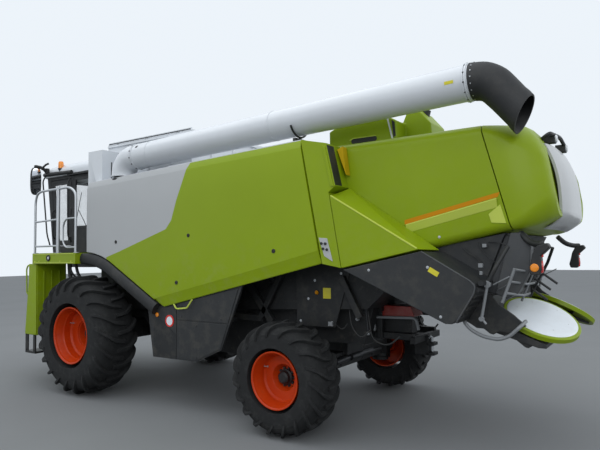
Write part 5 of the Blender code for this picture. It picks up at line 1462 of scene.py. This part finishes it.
# pressed post behind the duct, leaning back with the hood, on the left only
post = [(-6.3, 2.262), (-6.14, 1.66), (-6.25, 1.61), (-6.36, 1.67), (-6.47, 1.88), (-6.49, 2.14),
        (-6.42, 2.262)]
inner = [(-6.2, 2.24), (-6.0, 1.68), (-6.16, 1.64), (-6.34, 2.24)]
piece("leaning_post", [prismPart(post, 0.93, 1.06), prismPart(inner, 0.92, 1.0)], darkPost, bevel=0.012)
# rack of grey tubes over the spreader, with three black bars behind it
rack = [tubePart([(-6.366, 1.2, 1.914), (-6.239, 1.2, 1.587)], 0.015, sides=12),
        tubePart([(-6.464, 0.8, 1.9), (-6.33, 0.8, 1.575)], 0.012, sides=12)]
for x, z in ((-6.366, 1.905), (-6.318, 1.79), (-6.275, 1.68)):
    rack.append(tubePart([(x, 1.2, z), (x - 0.1, 0.95, z - 0.035), (x - 0.085, 0.55, z - 0.045)], 0.012,
            0.06, 12))
rack.append(tubePart([(-6.3, 1.19, 1.76), (-6.22, 1.1, 1.72), (-6.16, 1.04, 1.7)], 0.008, 0.04, 8))
piece("step_rack", rack, greyTube)
bars = [tubePart([(x, 0.6, z), (x - 0.145, 0.6, z - 0.11)], 0.012, sides=8) for x,
        z in ((-6.49, 1.855), (-6.425, 1.792), (-6.389, 1.689))]
bars += [tubePart([(-6.5, 0.6, 1.86), (-6.37, 0.6, 1.6)], 0.01, sides=8)]
piece("rack_bars", bars, blackPart)
for word, side in bothSides:
    ys = sideSpan(side, 0.8, 0.93)
    paddle = [(-6.257, 1.229), (-6.33, 1.2), (-6.476, 1.247), (-6.44, 1.15), (-6.405, 1.128), (-6.375, 1.135)]
    piece(word + "_rubber_paddle", [prismPart(paddle, *ys)], blackPart, bevel=0.006)


def rotor(word, side):
    # a green dish with a rolled band, ribs and shaft, and a white domed cover over it
    normal = np.array([-0.42, side * 0.35, 1.0])
    centre = np.array([-6.48, side * 0.62, 1.406])
    body = word + "_rotor"
    band = [(0, -0.04), (0.33, -0.05), (0.362, -0.056), (0.375, -0.05), (0.377, -0.006), (0.368, 0.001),
            (0.335, 0.001), (0.33, -0.01), (0, -0.01)]
    parts = [turnedPart(band, centre, normal, 72)]
    parts.append(turnedPart([(0, -0.118), (0.07, -0.118), (0.07, -0.05), (0.1, -0.045), (0, -0.045)], centre,
            normal, 32))
    piece(body + "_dish", parts, green, body, smooth=30.0, stands=(word + "_spreader_rotor",))
    crown = np.linspace(0, 1, 9)
    cover = [(0.345 * sin(t * np.pi / 2), 0.004 + 0.02 * cos(t * np.pi / 2)) for t in crown]
    cover += [(0.345, -0.012), (0, -0.012)]
    studs = boltParts(ringPlaces(centre + normal / np.linalg.norm(normal) * 0.012, normal, 0.25, 6, 0.3),
            normal, 0.007, 0.006)
    piece(body + "_cover", [turnedPart(cover, centre, normal, 72)], white, body, smooth=40.0)
    piece(body + "_studs", studs, zinc, body)
    ribs = []
    unit = normal / np.linalg.norm(normal)
    across = np.cross(unit, [0, 1, 0])
    across /= np.linalg.norm(across)
    other = np.cross(unit, across)
    for k in range(6):
        angle = k * np.pi / 3
        out = across * cos(angle) + other * sin(angle)
        wide = np.cross(unit, out) * 0.006
        low = [centre + out * r + unit * h for r, h in ((0.09, -0.046), (0.33, -0.05), (0.33, -0.072),
                (0.09, -0.1))]
        ribs.append(gridPart(np.array([[p - wide for p in low], [p + wide for p in low]])))
    piece(body + "_vanes", ribs, steel, body, bevel=0.001)


for word, side in bothSides:
    rotor(word, side)
print("spreader made")

# Housing, engine, axles and what hangs below
nearBlack = castMetal("housingSheet", (0.016, 0.017, 0.018), 0.6, 0.2)
rounded("threshing_housing", "threshing_shell", nearBlack, 0.012)
for word, side in bothSides:
    ys = sideSpan(side, 0.855, 0.874)
    # rear side plate with a blank label and an orange knob
    plate = [(-3.62, 2.02), (-4.3, 2.02), (-4.4, 1.86), (-4.18, 1.18), (-3.62, 1.18)]
    piece(word + "_rear_plate", [prismPart(plate, *ys)], blackPart, bevel=0.004)
    ys = sideSpan(side, 0.873, 0.877)
    piece(word + "_plate_label", [prismPart([(-4.02, 1.66), (-4.13, 1.66), (-4.13, 1.53), (-4.02, 1.53)],
            *ys)], yellow)
    knob = [turnedPart([(0, 0), (0.022, 0), (0.026, 0.012), (0.018, 0.024), (0, 0.026)],
            (-3.93, side * 0.874, 1.6), (0, side, 0), 24)]
    piece(word + "_orange_knob", knob, orange)
    details = boltParts([(x, side * 0.874, z) for x,
            z in ((-3.68, 1.95), (-4.28, 1.95), (-4.28, 1.84), (-3.68, 1.24), (-4.14, 1.24), (-3.9, 1.75),
                                                          (-3.8, 1.52))], (0, side, 0), 0.011, 0.008)
    details.append(boxPart((-4.16, min(side * 0.874, side * 0.9), 1.2),
            (-4.1, max(side * 0.874, side * 0.9), 1.25)))
    piece(word + "_plate_screws", details, zinc)
    # diagonal struts of the frame over the rear wheel, and the sloping rails under the housing
    struts = []
    for ax, az, bx, bz, thick in ((-2.55, 2.08, -3.25, 1.2, 0.045), (-3.55, 2.08, -3.05, 1.22, 0.04),
            (-4.3, 1.8, -4.55, 1.32, 0.04)):
        normal = np.array([bz - az, ax - bx]) / math.hypot(bx - ax, bz - az) * thick
        outline = [(ax - normal[0], az - normal[1]), (bx - normal[0], bz - normal[1]),
                   (bx + normal[0], bz + normal[1]), (ax + normal[0], az + normal[1])]
        ys = sideSpan(side, 0.875, 0.935)
        struts.append(prismPart(outline, *ys))
    ys = sideSpan(side, 0.86, 0.92)
    struts.append(prismPart([(-1.0, 1.24), (-3.1, 1.2), (-3.1, 1.28), (-1.0, 1.32)], *ys))
    piece(word + "_frame_struts", struts, blackPart, bevel=0.006)
    # belt drives: pulleys with grooved rims and the belt that joins each pair
    wheels, belts = [], []
    for (ax, az, ar), (bx, bz, br) in (((-1.15, 1.62, 0.2), (-2.05, 1.78, 0.12)),
            ((-2.45, 1.58, 0.25), (-3.28, 1.8, 0.1))):
        for x, z, r in ((ax, az, ar), (bx, bz, br)):
            place = (x, side * 0.9, z)
            groove = [(0.03, -0.03), (r, -0.03), (r * 0.93, -0.008), (r * 0.93, 0.008), (r, 0.03),
                      (r * 0.9, 0.03), (r * 0.85, 0.012),
                      (0.05, 0.012), (0.05, 0.045), (0.03, 0.045)]
            wheels.append(turnedPart(groove, place, sides=44))
            wheels.append(turnedPart([(0, -0.04), (0.03, -0.04), (0.03, 0.055), (0, 0.055)], place, sides=20))
        reach = math.hypot(bx - ax, bz - az)
        turn0 = math.atan2(bz - az, bx - ax)
        spread = math.acos((ar - br) / reach)
        first = np.linspace(turn0 + spread, turn0 + 2 * np.pi - spread, 26)
        second = np.linspace(turn0 - spread, turn0 + spread, 18)
        loop = [(ax + ar * 0.96 * cos(t), az + ar * 0.96 * sin(t)) for t in first]
        loop += [(bx + br * 0.96 * cos(t), bz + br * 0.96 * sin(t)) for t in second]
        loop = np.array(loop)
        middle = loop.mean(0)
        inner = middle + (loop - middle) * 0.965
        ring = [np.column_stack([band[:, 0], np.full(len(band), side * y), band[:, 1]]) for band, y in
                ((loop, 0.892), (loop, 0.908), (inner, 0.908), (inner, 0.892))]
        belts.append(gridPart(np.array(ring).transpose(1, 0, 2), wrapRows=True))
    piece(word + "_drive_pulleys", wheels, steel)
    piece(word + "_drive_belts", belts, blackPart)
    loops = [tubePart([(-4.2, side * 0.88, 1.22), (-4.3, side * 0.9, 1.16), (-4.36, side * 0.88, 1.24)],
            0.007, 0.05, 8),
             tubePart([(-4.34, side * 0.8, 1.44), (-4.4, side * 0.86, 1.2), (-4.52, side * 0.84, 1.06),
            (-4.62, side * 0.78, 1.18)], 0.009, 0.12, 8),
             tubePart([(-4.55, side * 0.72, 1.4), (-4.62, side * 0.76, 1.05), (-4.8, side * 0.7, 0.98),
            (-4.92, side * 0.62, 1.1)], 0.011, 0.12, 8)]
    piece(word + "_hose_loops", loops, blackPart)

# rear frame: red box on a tube frame, gas strut, hitch and its lower plates
frameParts = [boxPart((-5.02, -0.42, 0.98), (-4.95, 0.42, 1.06)),
              boxPart((-4.98, -0.4, 1.02), (-4.4, -0.32, 1.1)),
              boxPart((-4.98, 0.32, 1.02), (-4.4, 0.4, 1.1)),
              boxPart((-5.05, -0.07, 0.8), (-4.86, 0.07, 1.05)),
              boxPart((-5.12, -0.07, 0.8), (-5.02, 0.07, 0.84)),
              boxPart((-5.12, -0.07, 0.92), (-5.02, 0.07, 0.96)),
              boxPart((-4.95, 0.18, 1.1), (-4.55, 0.34, 1.3)),
              boxPart((-4.62, -0.5, 1.36), (-4.5, 0.5, 1.46)),
              boxPart((-5.04, -0.46, 1.24), (-4.56, -0.4, 1.31)),
              boxPart((-4.6, -0.44, 1.02), (-4.53, -0.36, 1.4)),
              boxPart((-4.6, 0.36, 1.02), (-4.53, 0.44, 1.4))]
piece("hitch_frame", frameParts, iron, bevel=0.008)
pin = [tubePart([(-5.07, 0, 0.78), (-5.07, 0, 1.02)], 0.017, sides=14),
       tubePart([(-5.07, 0, 1.02), (-5.07, 0.05, 1.04), (-5.07, 0.09, 1.02)], 0.009, 0.02, 8)]
piece("hitch_pin", pin, zinc)
piece("red_tool_box", [prismPart([(-4.52, 1.3), (-5.02, 1.31), (-4.97, 1.43), (-4.58, 1.435)], 0.14, 0.42)],
      red, bevel=0.008)
tubes = [tubePart([(-4.5, 0.45, 1.12), (-4.5, 0.45, 1.285), (-5.05, 0.45, 1.3), (-5.08, 0.45, 1.16)], 0.018,
        0.05, 12),
         tubePart([(-4.5, -0.45, 1.12), (-4.5, -0.45, 1.285), (-5.05, -0.45, 1.3), (-5.08, -0.45, 1.16)],
        0.018, 0.05, 12)]
piece("tool_box_frame", tubes, greyTube)
strut = [tubePart([(-4.47, 0.66, 1.66), (-4.5, 0.66, 1.36)], 0.026, sides=16),
         tubePart([(-4.5, 0.66, 1.36), (-4.52, 0.66, 1.12)], 0.012, sides=12)]
piece("gas_strut", strut, steel)
balls = [turnedPart([(0, -0.02), (0.02, -0.018), (0.026, 0), (0.02, 0.018), (0, 0.02)], place, (0, 1, 0), 16)
         for place in ((-4.47, 0.66, 1.67), (-4.52, 0.66, 1.11), (-4.4, 0.7, 1.28))]
piece("strut_joints", balls, zinc)

rounded("engine_block", "engine_shell", iron, 0.02)
bits = []
for side in (1, -1):
    for x in np.linspace(-3.28, -2.32, 6):
        bits.append(boxPart((x - 0.05, min(side * 0.41, side * 0.47), 2.78),
                (x + 0.05, max(side * 0.41, side * 0.47), 2.92)))
    bits.append(tubePart([(-3.3, side * 0.5, 2.98), (-2.3, side * 0.5, 2.98)], 0.045, sides=18))
    bits += [tubePart([(x, side * 0.46, 2.86), (x, side * 0.5, 2.98)], 0.028, sides=12)
             for x in np.linspace(-3.28, -2.32, 6)]
bits.append(turnedPart([(0, 0), (0.2, 0), (0.2, 0.05), (0.05, 0.06), (0, 0.06)], (-2.15, 0, 2.6), (1, 0, 0),
        40))
bits.append(turnedPart([(0, 0), (0.12, 0), (0.13, 0.2), (0.1, 0.24), (0, 0.24)], (-2.8, 0.25, 3.09),
        (0, 0, 1), 32))
piece("engine_details", bits, steel, bevel=0.003)

rounded("front_axle", "front_axle_shell", iron, 0.014)
bits = []
for word, side in bothSides:
    bits += boltParts(ringPlaces((0, side * 0.905, frontZ), (0, -side, 0), 0.235, 12), (0, -side, 0), 0.014,
            0.014)
    bits.append(turnedPart([(0.13, 0.0), (0.275, 0.0), (0.275, 0.03), (0.13, 0.03)],
            (0, side * 1.02, frontZ), (0, side, 0), 40))
    bits.append(boxPart((-0.3, side * 0.98 - 0.05, frontZ - 0.08), (-0.2, side * 0.98 + 0.05, frontZ + 0.1)))
    bits.append(tubePart([(-0.25, side * 0.98, frontZ + 0.1), (-0.26, side * 0.92, frontZ + 0.3),
            (-0.14, side * 0.7, frontZ + 0.34)], 0.012, 0.08, 8))
bits.append(turnedPart([(0, -0.24), (0.15, -0.24), (0.17, -0.1), (0.17, 0.1), (0.15, 0.24), (0, 0.24)],
        (-0.18, 0.1, frontZ + 0.02), (0, 1, 0), 32))
piece("front_axle_fittings", bits, steel, bevel=0.002)

rounded("rear_axle", "rear_axle_shell", iron, 0.012)
beamZ = rearZ + 0.02
bits = []
for word, side in bothSides:
    rounded("rear_" + word + "_knuckle", "rear_" + word + "_knuckle_shell", iron, 0.006)
    bits.append(tubePart([(rearX - 0.14, side * 0.12, beamZ + 0.02),
            (rearX - 0.15, side * 0.52, beamZ + 0.01)], 0.038, sides=18))
    bits.append(tubePart([(rearX - 0.15, side * 0.5, beamZ + 0.01), (rearX - 0.15, side * 0.8, beamZ)],
            0.018, sides=14))
    bits += boltParts([(rearX - 0.101, side * y, beamZ + z) for y in (0.3, 0.6, 0.9) for z in (-0.06, 0.06)],
            (-1, 0, 0), 0.013, 0.012)
    grease = [turnedPart([(0, 0), (0.05, 0), (0.05, 0.02), (0.02, 0.03), (0, 0.03)],
            (rearX, side * 1.08, beamZ + 0.21), (0, 0, 1), 24)]
    piece("rear_" + word + "_pin_cap", grease, steel, "rear_" + word + "_steer")
bits.append(tubePart([(rearX - 0.16, -0.14, beamZ + 0.02), (rearX - 0.16, 0.14, beamZ + 0.02)], 0.045,
        sides=20))
piece("rear_axle_fittings", bits, steel, bevel=0.002)

rounded("feeder_house", "feeder_shell", green, 0.01)
bits = []
slope = np.array([1.46, 0, -0.7]) / math.hypot(1.46, 0.7)
for y in (-0.6, -0.3, 0.0, 0.3, 0.6):
    start = np.array([0.66, y, 1.735])
    end = np.array([2.2, y, 1.325])
    bits.append(gridPart(np.array([[start + (0, -0.015, 0), start + (0, 0.015, 0), start + (0, 0.015, 0.02),
            start + (0, -0.015, 0.02)],
                                   [end + (0, -0.015, 0), end + (0, 0.015, 0), end + (0, 0.015, 0.02),
            end + (0, -0.015, 0.02)]])))
for word, side in bothSides:
    ys = sideSpan(side, 0.655, 0.675)
    bits.append(prismPart([(0.8, 1.42), (2.1, 0.85), (2.1, 0.91), (0.8, 1.48)], *ys))
    bits.append(prismPart([(2.3, 0.6), (2.385, 0.6), (2.385, 1.22), (2.3, 1.22)], *ys))
piece("feeder_ribs", bits, green, "feeder", bevel=0.003)
bits = boltParts([(2.36, side * 0.675, z) for side in (1, -1) for z in (0.68, 0.86, 1.04, 1.18)], (0, 1, 0),
        0.012, 0.01)
bits += [turnedPart([(0, -0.02), (0.1, -0.02), (0.1, 0.02), (0.05, 0.04), (0, 0.04)],
        (2.02, side * 0.675, 0.98), (0, side, 0), 36) for side in (1, -1)]
bits.append(tubePart([(2.44, -0.56, 0.7), (2.44, 0.56, 0.7)], 0.022, sides=16))
bits.append(tubePart([(2.44, -0.56, 1.12), (2.44, 0.56, 1.12)], 0.022, sides=16))
for z in np.arange(0.74, 1.1, 0.07):
    bits.append(boxPart((2.36, -0.54, z), (2.385, 0.54, z + 0.022)))
piece("feeder_fittings", bits, steel, "feeder", bevel=0.002)

for word, side in bothSides:
    rounded(word + "_lift_barrel", word + "_lift_barrel_shell", blackPart, 0.003)
    kept(word + "_lift_rod", chrome)
    foot = np.array([0.3, side * 0.45, 0.66])
    reach = np.array([1.2, 0, 0.12])
    collar = [(0.03, -0.03), (0.054, -0.03), (0.054, 0.006), (0.046, 0.012), (0.03, 0.012)]
    parts = [turnedPart(collar, foot + reach * 0.6, reach, 32)]
    parts.append(turnedPart([(0.046, -0.01), (0.053, -0.01), (0.053, 0.01), (0.046, 0.01)],
            foot + reach * 0.1, reach, 32))
    port = foot + reach * 0.16
    parts.append(tubePart([port, port + (0, 0, 0.075), port + (0.06, 0, 0.1)], 0.01, 0.03, 8))
    piece(word + "_lift_collar", parts, steel, word + "_lift_barrel", bevel=0.001)
print("underside made")


# Floor, light and camera
camera = {"place": (-7.6167, 6.6301, 2.0715), "yaw": -0.9718, "pitch": 0.0545, "roll": -0.0138,
          "focal": 546.058}


def setCamera():
    # looks along the yaw and pitch, turned a little about its own line of sight
    yaw, pitch, roll = camera["yaw"], camera["pitch"], camera["roll"]
    ahead = np.array([cos(yaw) * cos(pitch), sin(yaw) * cos(pitch), sin(pitch)])
    right = np.cross(ahead, [0, 0, 1])
    right /= np.linalg.norm(right)
    up = np.cross(right, ahead)
    turnedRight = right * cos(roll) + up * sin(roll)
    turnedUp = up * cos(roll) - right * sin(roll)
    data = bpy.data.cameras.new("viewCamera")
    data.sensor_width = 36.0
    data.lens = camera["focal"] * 36.0 / 600.0
    data.clip_end = 200.0
    made = bpy.data.objects.new("viewCamera", data)
    bpy.context.scene.collection.objects.link(made)
    x, y, z = camera["place"]
    rows = [(turnedRight[i], turnedUp[i], -ahead[i], (x + axleX, y, z)[i]) for i in range(3)]
    made.matrix_world = Matrix((*rows, (0, 0, 0, 1)))
    bpy.context.scene.camera = made


def areaLight(name, place, aim, size, power, colour=(1, 1, 1)):
    # a rectangle of light at a place, turned to its aim
    data = bpy.data.lights.new(name, "AREA")
    data.shape = "RECTANGLE"
    data.size, data.size_y = size
    data.energy = power
    data.color = colour
    made = bpy.data.objects.new(name, data)
    bpy.context.scene.collection.objects.link(made)
    made.location = place
    made.rotation_euler = (Vector(aim) - Vector(place)).to_track_quat("-Z", "Y").to_euler()


def floorFinish():
    made = Finish("studioFloor")
    drift = made.noise(0.5, 3.0)
    return made.set(colour=made.blend(drift, (0.17, 0.176, 0.18), (0.205, 0.211, 0.215)), roughness=0.9)


setCamera()
points, faces = boxPart((-60, -60, -0.05), (60, 60, -0.002))
floorMesh = bpy.data.meshes.new("studio_floor")
floorMesh.from_pydata(points.tolist(), [], faces[0].tolist())
floorObject = bpy.data.objects.new("studio_floor", floorMesh)
bpy.context.scene.collection.objects.link(floorObject)
floorMesh.materials.append(floorFinish())
areaLight("softSky", (2, 3, 13), (0, 0, 1.5), (16, 14), 700, (0.97, 0.985, 1.0))
areaLight("softSide", (-9, 13, 8), (-1, 0, 1.6), (9, 7), 420)
areaLight("softBack", (-13, -5, 7), (-2, 0, 1.8), (7, 6), 200)
world = bpy.data.worlds.new("paleSky")
bpy.context.scene.world = world
world.use_nodes = True
world.node_tree.nodes["Background"].inputs["Color"].default_value = (0.88, 0.94, 1.0, 1.0)
world.node_tree.nodes["Background"].inputs["Strength"].default_value = 0.96
bpy.context.scene.view_settings.view_transform = "Standard"
print("stage set")
